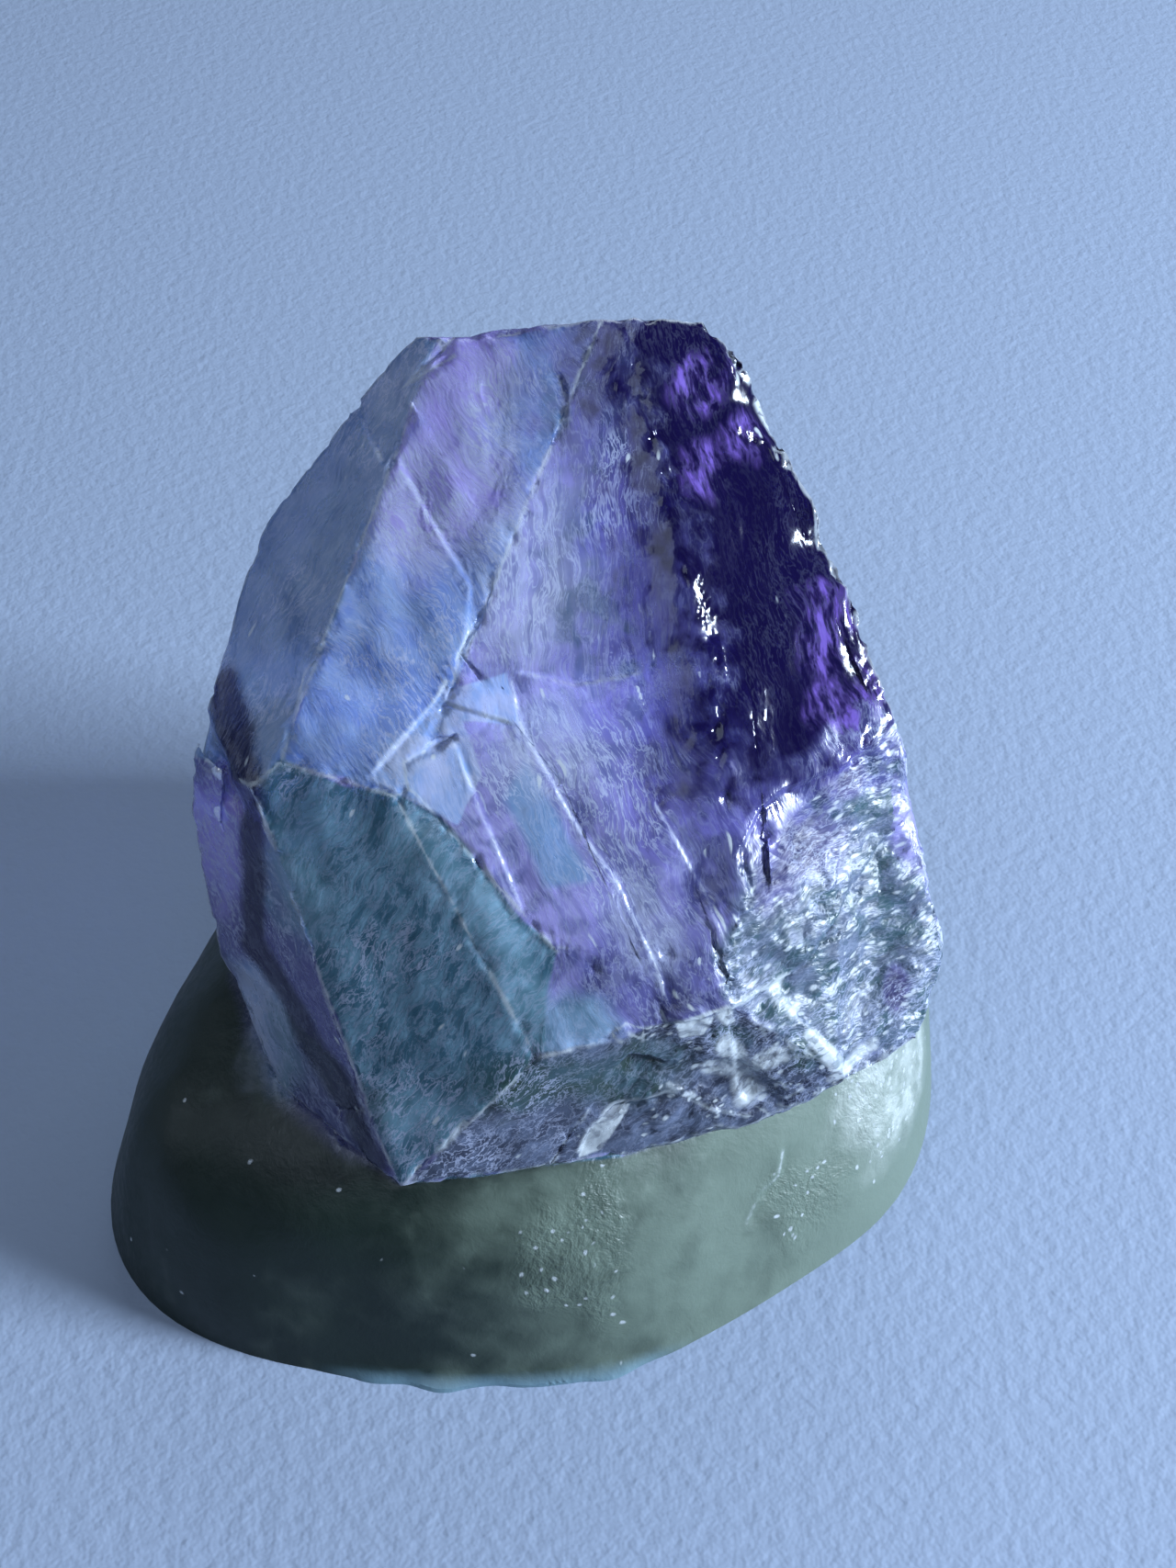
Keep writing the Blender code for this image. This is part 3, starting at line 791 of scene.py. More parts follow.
    @staticmethod
    def edge_distance(bm: bmesh.types.BMesh, points: np.ndarray, bright: bool = False) -> np.ndarray:
        """Distance in mm from each point to the nearest crisp edge.

        Args:
            bm: The mesh with its crisp edges marked.
            points: Places in mm.
            bright: Whether only edges that show as bright lines count.

        Returns:
            One distance for each point.
        """
        samples = []
        for edge in bm.edges:
            if edge.seam if bright else not edge.smooth:
                a, b = (v.co / MM for v in edge.verts)
                count = max(1, math.ceil((b - a).length / EDGE_SAMPLING))
                samples.extend(a.lerp(b, i / count) for i in range(count + 1))
        tree = kdtree.KDTree(len(samples))
        for i, sample in enumerate(samples):
            tree.insert(sample, i)
        tree.balance()
        return np.array([tree.find(p)[2] for p in points])

    def soften(self, bm: bmesh.types.BMesh) -> None:
        """Heals the steps of the solid between its crisp edges and relaxes it, most of all on the foot."""
        co = self.coordinates(bm)
        foot = self.footness(co)
        heights = self.heights(co)
        top = heights.max(axis=0)
        faces = np.array([f.normal for f in CLEAVAGE])[heights.argmax(axis=0)]
        sunk = np.where((top < 0.0) & (top > -self.healed_depth), -top, 0.0)
        healed = sunk * self.healing * (1 - self.brokenness(co))
        free = [all(e.smooth for e in v.link_edges) and v.co.z > GROUND * MM for v in bm.verts]
        for v, lift, face, ok in zip(bm.verts, healed, faces, free):
            if ok:
                v.co += Vector(face * lift * MM)
        crown = [v for v, f, ok in zip(bm.verts, foot, free) if ok and f < self.worn_from]
        worn = [v for v, f, ok in zip(bm.verts, foot, free) if ok and f > self.worn_from]
        self.relax(bm, crown, self.crown_smoothing)
        self.relax(bm, worn, self.foot_smoothing)

    @staticmethod
    def relax(bm: bmesh.types.BMesh, verts: list[bmesh.types.BMVert], times: int) -> None:
        """Moves vertices towards their neighbours, a few times over."""
        for _ in range(times):
            bmesh.ops.smooth_vert(bm, verts=verts, factor=0.5, use_axis_x=True, use_axis_y=True,
                                  use_axis_z=True)

    def relief(self, p: Vector, rough: float, foot: float, edge: float) -> float:
        """How far the surface stands out at a place, in mm.

        Args:
            p: The place in mm.
            rough: How broken it is there, 0 to 1.
            foot: How far it is on the foot, in mm.
            edge: Distance to the nearest crisp edge in mm.

        Returns:
            The height in mm.
        """
        height = 0.0
        q = p + Vector((self.noise_shift, 2 * self.noise_shift, 0))
        if rough > 0.01:
            bent = q + noise.noise_vector(q * self.bend_pitch) * self.bend
            scar = Vector(GRAINS[Region.FLANK].along)
            broken = sum(splinters.height(bent, scar) for splinters in SPLINTERS)
            height += (broken + swell(BREAK_SWELL, q)) * rough
        if foot > 0.0:
            height += swell(FOOT_SWELL, q) * min(1.0, foot / self.worn_within)
        else:
            height += (self.terrace(q) + swell(RIPPLE, q)) * (1.0 - rough)
            if p.z > self.bite_floor:
                bite = max(0.0, swell(EDGE_BITES, q) - self.bite_skipped)
                height -= bite * math.exp(-edge / self.bite_reach)
        return height * min(1.0, p.z / self.ground_fade)

    def terrace(self, q: Vector) -> float:
        """Height of the low steps across the cleavage faces at a place, in mm."""
        level = noise.noise(Vector([axis.dot(q) for axis in TERRACE_AXES])) * self.terrace_levels
        step = math.floor(level)
        return (step + min(1.0, (level - step) * self.terrace_slope)) * self.terrace_depth

    def lip(self, points: np.ndarray) -> np.ndarray:
        """Where the foot thins out to a lip on the ground at the front: 1 at its brim."""
        brim = ease(points[:, 2], *self.lip_height) * ease(points[:, 1], *self.lip_front)
        return brim * ease(np.abs(points[:, 0] - self.lip_middle), *self.lip_sides)

    def carve(self, bm: bmesh.types.BMesh) -> None:
        """Raises and sinks the surface along its normals."""
        bm.normal_update()
        co = self.coordinates(bm)
        rough = self.brokenness(co)
        foot = self.footness(co)
        edge = self.edge_distance(bm, co)
        steps = -np.sum([scarp.lowering(co) for scarp in SCARPS.values()], axis=0)
        for v, r, f, e, step in zip(bm.verts, rough, foot, edge, steps):
            if v.co.z > GROUND * MM:
                v.co += v.normal * (self.relief(v.co / MM, r, f, e) + step) * MM
                v.co.z = max(v.co.z, GROUND * MM)
        for v, lip in zip(bm.verts, self.lip(co)):
            v.co.y -= lip * self.lip_reach * (self.lip_share + swell(LIP_SWELL, v.co / MM)) * MM
        self.crisp = self.edge_distance(bm, co, bright=True)

    def write_guides(self, mesh: bpy.types.Mesh) -> None:
        """Stores the guides that the finish reads: margins of regions, depths of growths and the rest."""
        co = np.zeros(len(mesh.vertices) * 3)
        mesh.vertices.foreach_get("co", co)
        co = co.reshape(-1, 3) / MM
        wander = np.array([self.wander(Vector(p)) for p in co])
        heights = self.heights(co)
        normals = np.array([f.normal for f in CLEAVAGE])
        regions = np.array([f.region.value for f in CLEAVAGE])
        for region in PAINTED:
            own = regions == region.value
            mine = np.where(own[:, None], heights, -np.inf)
            others = np.where(own[:, None], -np.inf, heights)
            apart = np.linalg.norm(normals[mine.argmax(axis=0)] - normals[others.argmax(axis=0)], axis=1)
            margin = (mine.max(axis=0) - others.max(axis=0)) / apart
            margin += wander[:, 0] * (1.0 if region in BLENDED else self.sharp_wander)
            self.attribute(mesh, region.value, np.clip(margin, -self.margin_limit, self.margin_limit))
        fading = 1.0 - self.left_softness * ease(co[:, 0], *self.left_fade)
        foot = (self.footness(co) + wander[:, 1] * self.foot_wander) * fading
        guides = {
            "deep": self.violet_depth(co, wander),
            "foot": np.clip(foot, -self.near_limit, self.near_limit),
            "broken": self.brokenness(co),
            "crisp": np.minimum(self.crisp, self.near_limit),
            "trace": np.max([scarp.light(co) for scarp in SCARPS.values()], axis=0),
            "cloud": BROAD_PATCHES.tone(co),
            "mottle": SMALL_PATCHES.tone(co),
            "right": co[:, 0] + wander[:, 2] * self.right_wander,
            "lip": self.lip(co),
        }
        for growth, spots in GROWTHS.items():
            depth = np.max([spot.depth(co, wander) for spot in spots], axis=0)
            guides[growth.value] = np.clip(depth, -1.0, 1.0)
        guides |= self.textures(guides)
        for name, values in guides.items():
            self.attribute(mesh, name, values)
        self.write_grain(mesh, co + wander * self.grain_wander)

    def textures(self, guides: dict[str, np.ndarray]) -> dict[str, np.ndarray]:
        """Where the fine textures show, worked out from the other guides.

        Args:
            guides: Numbers for each vertex, by name.

        Returns:
            The share of bright flakes, which are white chips and painted glints, the cover of bright threads,
            and the height of the grit.
        """
        grown = {growth: ease(guides[growth.value], 0.0, GROWTH_RIM) for growth in Growth}
        foot = ease(guides["foot"], -FOOT_RIM, FOOT_RIM)
        rough = guides["broken"] * (1.0 - foot)
        deep = ease(guides["mottle"] * VIOLET_TEAR + guides["deep"], *VIOLET_RIM)
        plain = self.crown_glint_chips + (self.foot_glint_chips - self.crown_glint_chips) * foot
        glint_chips = np.maximum(self.broken_glint_chips * rough + plain, self.sparkle_flakes * grown[Growth.SPARKLE])
        glint_chips = np.maximum(glint_chips, self.glow_glint_chips * grown[Growth.GLOW])
        glint_chips *= 1.0 - self.smooth_growth * np.maximum(grown[Growth.PURPLE], grown[Growth.MURK])
        glint_chips *= 1.0 - self.smooth_violet * deep
        cover = self.clear_cover + self.cloud_cover * ease(guides["cloud"], *self.cloud_rim)
        cover = np.maximum(cover, grown[Growth.VEIL]) * (1.0 - foot) * (1.0 - self.violet_hides * deep)
        cover *= (1.0 - self.dusk_hides * grown[Growth.DUSK]) * (1.0 - self.dark_hides * grown[Growth.DARK])
        bright = np.maximum(grown[Growth.SPARKLE], grown[Growth.GLOW])
        grit = 1.0 + self.bright_grit * bright + self.broken_grit * rough
        return {"glint_chips": glint_chips, "cover": cover, "grit": grit * (1.0 - self.smooth_violet * deep)}

    def write_grain(self, mesh: bpy.types.Mesh, places: np.ndarray) -> None:
        """Stores places that are drawn together along each region's fibres, face corner by face corner.

        Args:
            mesh: The mesh, made of triangles.
            places: The vertices in mm, a little disturbed.
        """
        corners = np.zeros(len(mesh.loops), dtype=np.int32)
        mesh.loops.foreach_get("vertex_index", corners)
        corners = corners.reshape(-1, 3)
        middles = places[corners].mean(axis=1)
        heights = self.heights(middles)
        order = list(Region)
        kind = np.array([order.index(f.region) for f in CLEAVAGE])[heights.argmax(axis=0)]
        along = np.array([GRAINS[region].along for region in order])[kind]
        stretch = np.array([GRAINS[region].stretch for region in order])[kind]
        worn = self.footness(middles) > 0.0
        stretch = np.where(worn, 1.0, stretch)
        local = places[corners] - np.array(FAN_APEX)
        above = ease(middles[:, 2], FAN_APEX[2] - self.fan_rise, FAN_APEX[2] + self.fan_rise)
        fan = above * (kind == order.index(Region.FRONT))
        along = along * (1 - fan)[:, None] + np.array(FAN.along) * fan[:, None]
        along /= np.linalg.norm(along, axis=1)[:, None]
        share = np.einsum("fcj,fj->fc", local, along) * (1.0 - 1.0 / stretch)[:, None]
        drawn = local - share[:, :, None] * along[:, None, :] + kind[:, None, None] * self.region_shift
        drawn *= np.where(worn, self.foot_grain, 1.0)[:, None, None]
        made = mesh.attributes.new("grain", "FLOAT_VECTOR", "CORNER")
        made.data.foreach_set("vector", drawn.astype(np.float32).ravel())

    def wander(self, p: Vector) -> Vector:
        """How far the borders of the colours stray at a place, in mm."""
        broad = noise.noise_vector(p * self.broad_wander.pitch)
        fine = noise.noise_vector(p * self.fine_wander.pitch + Vector((9.0, 4.0, 2.0)))
        return broad * self.broad_wander.height + fine * self.fine_wander.height

    def violet_depth(self, points: np.ndarray, wander: np.ndarray) -> np.ndarray:
        """How deep points lie in the dark violet growth zone of the right side, in mm."""
        depth = np.min([border.depth(points + wander) for border in VIOLET_BORDERS], axis=0)
        return np.clip(depth, -self.violet_limit, self.violet_limit)

    @staticmethod
    def attribute(mesh: bpy.types.Mesh, name: str, values: np.ndarray) -> None:
        """Writes one number for each vertex of a mesh."""
        made = mesh.attributes.new(name, "FLOAT", "POINT")
        made.data.foreach_set("value", values.astype(np.float32))


# ---------------------------------------------------------------------------------------------- nodes

Value = bpy.types.NodeSocket | float
Paint = bpy.types.NodeSocket | Colour


class Nodes:
    """Adds nodes to one tree, with plain numbers and colours where a socket isn't linked."""

    def __init__(self, tree: bpy.types.NodeTree) -> None:
        """Keeps the tree."""
        self.tree = tree

    def put(self, socket: bpy.types.NodeSocket, value: object) -> None:
        """Links or sets one input."""
        if isinstance(value, bpy.types.NodeSocket):
            self.tree.links.new(value, socket)
        elif isinstance(value, (int, float)):
            socket.default_value = value
        elif len(socket.default_value) == 4:
            socket.default_value = (*value, 1.0)
        else:
            socket.default_value = value

    def add(self, kind: str, values: dict[int | str, object] | None = None,
            **settings: object) -> bpy.types.Node:
        """Adds a node.

        Args:
            kind: The node's type.
            values: Its inputs, by index or name.
            settings: Its own properties.

        Returns:
            The node.
        """
        node = self.tree.nodes.new(kind)
        for name, value in settings.items():
            setattr(node, name, value)
        for key, value in (values or {}).items():
            self.put(node.inputs[key], value)
        return node

    def math(self, operation: str, a: Value, b: Value = 0.0, c: Value = 0.0) -> bpy.types.NodeSocket:
        """A Math node's result."""
        return self.add("ShaderNodeMath", {0: a, 1: b, 2: c}, operation=operation).outputs[0]

    def times(self, value: bpy.types.NodeSocket, factor: float) -> bpy.types.NodeSocket:
        """A number times a plain factor; nothing is added where the factor is 1."""
        return value if factor == 1.0 else self.math("MULTIPLY", value, factor)

    def dot(self, a: bpy.types.NodeSocket, b: Point) -> bpy.types.NodeSocket:
        """The dot product of a vector or colour and a plain vector."""
        return self.add("ShaderNodeVectorMath", {0: a, 1: b}, operation="DOT_PRODUCT").outputs["Value"]

    def scaled(self, vector: bpy.types.NodeSocket, by: Value) -> bpy.types.NodeSocket:
        """A vector times a number."""
        return self.add("ShaderNodeVectorMath", {0: vector, "Scale": by}, operation="SCALE").outputs[0]

    def ease(self, value: Value, low: Value, high: Value, to: float = 1.0) -> bpy.types.NodeSocket:
        """A smooth step from 0 at low to `to` at high."""
        values = {"Value": value, "From Min": low, "From Max": high, "To Max": to}
        return self.add("ShaderNodeMapRange", values, interpolation_type="SMOOTHSTEP").outputs["Result"]

    def blend(self, share: Value, a: Paint, b: Paint, mode: str = "MIX") -> bpy.types.NodeSocket:
        """A colour mixed from a towards b."""
        node = self.add("ShaderNodeMix", {0: share, 6: a, 7: b}, data_type="RGBA", blend_type=mode)
        return node.outputs[2]

    def noise(self, vector: bpy.types.NodeSocket, scale: Value, detail: float,
              roughness: float) -> bpy.types.NodeSocket:
        """A noise texture's value."""
        values = {"Vector": vector, "Scale": scale, "Detail": detail, "Roughness": roughness}
        return self.add("ShaderNodeTexNoise", values).outputs["Fac"]

    def number(self, name: str) -> bpy.types.NodeSocket:
        """The mesh attribute of that name."""
        return self.add("ShaderNodeAttribute", attribute_name=name).outputs["Fac"]

    def group(self, tree: bpy.types.NodeTree, values: dict[str, object]) -> bpy.types.Node:
        """Places a node group with its own values."""
        node = self.tree.nodes.new("ShaderNodeGroup")
        node.node_tree = tree
        for key, value in values.items():
            self.put(node.inputs[key], value)
        return node


def new_group(name: str, inputs: dict[str, tuple[str, object]],
              outputs: dict[str, str]) -> tuple[Nodes, bpy.types.Node, bpy.types.Node]:
    """Starts a shader node group.

    Args:
        name: The group's name.
        inputs: For each input, its socket type and default value.
        outputs: For each output, its socket type.

    Returns:
        The group's nodes, its input node and its output node.
    """
    tree = bpy.data.node_groups.new(name, "ShaderNodeTree")
    for title, (kind, value) in inputs.items():
        socket = tree.interface.new_socket(title, in_out="INPUT", socket_type=kind)
        if value is not None:
            socket.default_value = value
    for title, kind in outputs.items():
        tree.interface.new_socket(title, in_out="OUTPUT", socket_type=kind)
    return Nodes(tree), tree.nodes.new("NodeGroupInput"), tree.nodes.new("NodeGroupOutput")


NUMBER = "NodeSocketFloat"
VECTOR = "NodeSocketVector"


class Effects:
    """The node groups that the finish is made of."""

    def __init__(self) -> None:
        """Builds every group once."""
        self.fibres = self.make_fibres()
        self.flakes = self.make_flakes()

    @staticmethod
    def make_fibres() -> bpy.types.NodeTree:
        """Tone and bright threads of a fibrous growth; the vector is drawn together along the fibres."""
        n, start, end = new_group(
            "fibres",
            {"Vector": (VECTOR, None), "Scale": (NUMBER, 1.0), "Fineness": (NUMBER, 0.03)},
            {"Threads": NUMBER, "Tone": NUMBER},
        )
        tone = n.noise(start.outputs["Vector"], start.outputs["Scale"], 3.0, 0.62)
        ridge = n.math("ABSOLUTE", n.math("SUBTRACT", tone, 0.5))
        n.put(end.inputs["Threads"], n.ease(ridge, start.outputs["Fineness"], 0.0))
        n.put(end.inputs["Tone"], n.ease(tone, 0.25, 0.75))
        return n.tree

    @staticmethod
    def make_flakes() -> bpy.types.NodeTree:
        """Small flat chips, of which some are bright; the bright ones are white chips and painted glints."""
        n, start, end = new_group(
            "flakes",
            {"Vector": (VECTOR, None), "Scale": (NUMBER, 2.0), "Share": (NUMBER, 0.3)},
            {"Mask": NUMBER, "Tone": NUMBER},
        )
        cell = n.add("ShaderNodeTexVoronoi", {name: start.outputs[name] for name in ("Vector", "Scale")})
        chance = n.dot(cell.outputs["Color"], (1.0, 0.0, 0.0))
        chosen = n.math("LESS_THAN", chance, start.outputs["Share"])
        n.put(end.inputs["Mask"], n.math("MULTIPLY", chosen, n.ease(cell.outputs["Distance"], 0.5, 0.2)))
        n.put(end.inputs["Tone"], n.dot(cell.outputs["Color"], (0.0, 1.0, 0.0)))
        return n.tree


# ---------------------------------------------------------------------------------------------- finish


class Tint(Enum):
    """The colours of the stone."""

    LAVENDER = (0.50, 0.46, 0.98)
    GREY_LAVENDER = (0.17, 0.19, 0.46)
    PURPLE = (0.46, 0.37, 1.0)
    DUSK_PURPLE = (0.15, 0.14, 0.42)
    DUSK_LIGHT = (0.15, 0.15, 0.44)
    DUSK = (0.038, 0.040, 0.16)
    DEEP_VIOLET = (0.007, 0.004, 0.052)
    HALO_VIOLET = (0.19, 0.17, 0.66)
    ROYAL_VIOLET = (0.25, 0.15, 0.66)
    BAND_VIOLET = (0.010, 0.004, 0.065)
    STEEL_BLUE = (0.20, 0.34, 0.84)
    LIGHT_BLUE = (0.54, 0.73, 1.0)
    SKY_BLUE = (0.36, 0.56, 1.0)
    WINDOW_BLUE = (0.23, 0.40, 0.66)
    PALE_GREY = (0.20, 0.33, 0.60)
    CLEAR_GREY = (0.19, 0.24, 0.38)
    TOE_GREY = (0.045, 0.055, 0.10)
    TEAL = (0.065, 0.18, 0.27)
    LIGHT_TEAL = (0.36, 0.62, 0.82)
    WASH_TEAL = (0.18, 0.36, 0.46)
    DARK_TEAL = (0.06, 0.14, 0.17)
    MURK = (0.050, 0.095, 0.070)
    # the foot's olive, darkened to painted shade for its shaded left side
    OLIVE = (0.018, 0.037, 0.029)
    SAGE = (0.24, 0.32, 0.26)
    # painted glow of the foot's lit right end
    GLOW = (0.92, 1.0, 0.96)
    VEIL_WHITE = (0.67, 0.74, 1.0)
    FROST = (0.86, 0.94, 1.0)


@dataclass(frozen=True)
class Layer:
    """A colour laid over those before it: the mask it shows through, its share, and its two tints."""

    mask: str
    share: float
    dark: Tint
    light: Tint
    pattern: str = "streaky"
    strength: float = 1.0
    lobed: bool = False  # purple growth shows through it


CROWN_LAYERS = (
    Layer("patchy", 0.35, Tint.GREY_LAVENDER, Tint.GREY_LAVENDER),
    Layer("purple", 0.8, Tint.DUSK_PURPLE, Tint.PURPLE),
    Layer("dusk", 0.8, Tint.DUSK, Tint.DUSK_LIGHT),
    Layer("blue", 1.0, Tint.STEEL_BLUE, Tint.LIGHT_BLUE, strength=0.5, lobed=True),
    Layer("pale", 1.0, Tint.PALE_GREY, Tint.LIGHT_BLUE, strength=0.3),
    Layer("teal", 1.0, Tint.TEAL, Tint.LIGHT_TEAL, "scratched"),
    Layer("side", 1.0, Tint.DUSK_PURPLE, Tint.GREY_LAVENDER, strength=0.5, lobed=True),
    Layer("green", 0.62, Tint.DARK_TEAL, Tint.CLEAR_GREY),
    Layer("window", 0.85, Tint.WINDOW_BLUE, Tint.WINDOW_BLUE),
    Layer("wash", 0.75, Tint.WASH_TEAL, Tint.LIGHT_TEAL),
    # pale sheets, and painted light on a strip of the shaded left side
    Layer("light", 0.85, Tint.SKY_BLUE, Tint.VEIL_WHITE),
    Layer("dark", 0.92, Tint.BAND_VIOLET, Tint.BAND_VIOLET),
    Layer("clear", 1.0, Tint.DARK_TEAL, Tint.CLEAR_GREY),
    Layer("lobe", 0.9, Tint.DUSK, Tint.DUSK),
    Layer("toe", 1.0, Tint.TOE_GREY, Tint.CLEAR_GREY),
    Layer("murk", 0.85, Tint.MURK, Tint.DARK_TEAL),
    Layer("halo", 1.0, Tint.DUSK, Tint.HALO_VIOLET),
    Layer("deep", 1.0, Tint.DEEP_VIOLET, Tint.ROYAL_VIOLET, "feathery"),
)
FOOT_LAYERS = (
    # painted glow on the foot's lit right end
    Layer("shining", 1.0, Tint.GLOW, Tint.GLOW),
    Layer("lip", 0.6, Tint.LIGHT_TEAL, Tint.LIGHT_TEAL),
)


class Masks(dict[str, bpy.types.NodeSocket]):
    """Masks of one material, from the stone's own guides; each is made when it is first asked for."""

    sharp: float = 0.10  # mm from the middle of a border between cleavage faces to its end
    blended: float = 0.45  # the same between faces that pass into one another
    halo_rim: Span = (-2.8, -0.8)  # mm of depth
    halo_share: float = 0.7
    broad_rim: Span = (-0.25, 0.25)
    small_rim: Span = (-0.35, 0.35)
    patch_share: float = 0.55
    fibre_share: float = 0.45
    scratch_power: float = 2.0
    scratch_share: float = 0.60
    scratch_base: float = 0.15
    feather_power: float = 2.6
    feather_share: float = 1.7
    small_spread: float = 5.0  # mm by which small patches shift the foot's colours
    broad_spread: float = 9.0  # the same for broad ones
    across_rim: Span = (-12.0, 17.0)  # mm from the middle
    shine_base: float = 0.2
    shine_streaks: float = 0.5

    def __init__(self, nodes: Nodes, tone: bpy.types.NodeSocket) -> None:
        """Starts with no mask.

        Args:
            nodes: The material's nodes.
            tone: Tone of the fibres, 0 to 1.
        """
        super().__init__()
        self.nodes = nodes
        self["tone"] = tone

    def __missing__(self, name: str) -> bpy.types.NodeSocket:
        """Makes a mask.

        Args:
            name: A painted region, a growth, a mask worked out below, or else a guide taken as it is.

        Returns:
            The mask.
        """
        n = self.nodes
        if name in {region.value for region in PAINTED}:
            soft = self.blended if Region(name) in BLENDED else self.sharp
            made = n.ease(n.number(name), -soft, soft)
        elif name in {growth.value for growth in Growth}:
            made = n.ease(n.number(name), 0.0, GROWTH_RIM)
        elif hasattr(self, f"make_{name}"):
            made = getattr(self, f"make_{name}")(n)
        else:
            made = n.number(name)
        self[name] = made
        return made

    def make_torn(self, n: Nodes) -> bpy.types.NodeSocket:
        """How deep in the dark violet, in mm, with a ragged border."""
        return n.math("MULTIPLY_ADD", self["mottle"], VIOLET_TEAR, n.number("deep"))

    def make_deep(self, n: Nodes) -> bpy.types.NodeSocket:
        """The dark violet zone."""
        return n.ease(self["torn"], *VIOLET_RIM)

    def make_halo(self, n: Nodes) -> bpy.types.NodeSocket:
        """Blue violet that the dark violet fades into."""
        return n.ease(self["torn"], *self.halo_rim, self.halo_share)

    def make_foot(self, n: Nodes) -> bpy.types.NodeSocket:
        """The foot."""
        return n.ease(n.number("foot"), -FOOT_RIM, FOOT_RIM)

    def make_crown(self, n: Nodes) -> bpy.types.NodeSocket:
        """All but the foot."""
        return n.math("SUBTRACT", 1.0, self["foot"])

    def make_rough(self, n: Nodes) -> bpy.types.NodeSocket:
        """The crown's broken places."""
        return n.math("MULTIPLY", self["broken"], self["crown"])

    def make_lobe(self, n: Nodes) -> bpy.types.NodeSocket:
        """Purple growth on the flank."""
        return n.math("MULTIPLY", self["purple"], self["flank"])

    def make_clear(self, n: Nodes) -> bpy.types.NodeSocket:
        """The flank's clear stone, outside the purple growth."""
        return n.math("MULTIPLY", self["flank"], n.math("SUBTRACT", 1.0, self["purple"]))

    def make_patchy(self, n: Nodes) -> bpy.types.NodeSocket:
        """Broad duller patches."""
        return n.ease(self["cloud"], *self.broad_rim)

    def make_streaky(self, n: Nodes) -> bpy.types.NodeSocket:
        """Fibres over patches of a few millimetres."""
        patches = n.ease(self["mottle"], *self.small_rim)
        return n.math("MULTIPLY_ADD", patches, self.patch_share, n.times(self["tone"], self.fibre_share))

    def make_scratched(self, n: Nodes) -> bpy.types.NodeSocket:
        """The brightest fibres alone, over a little of the patches."""
        bright = n.math("POWER", self["tone"], self.scratch_power)
        return n.math("MULTIPLY_ADD", bright, self.scratch_share, n.times(self["streaky"], self.scratch_base))

    def make_feathery(self, n: Nodes) -> bpy.types.NodeSocket:
        """Royal patches drawn out into feathers."""
        feathers = n.times(n.math("POWER", self["tone"], self.feather_power), self.feather_share)
        return n.math("MULTIPLY", self["royal"], feathers)

    def make_across(self, n: Nodes) -> bpy.types.NodeSocket:
        """Painted shade and light: from the foot's shaded dark left to its lit, lighter right, in clouds."""
        place = n.math("MULTIPLY_ADD", self["mottle"], self.small_spread, self["right"])
        place = n.math("MULTIPLY_ADD", self["cloud"], self.broad_spread, place)
        return n.ease(place, *self.across_rim)

    def make_shining(self, n: Nodes) -> bpy.types.NodeSocket:
        """Painted glow: the foot's lit bright place, streaked."""
        streaks = n.math("MULTIPLY_ADD", self["streaky"], self.shine_streaks, self.shine_base)
        return n.math("MULTIPLY", self["glow"], streaks)


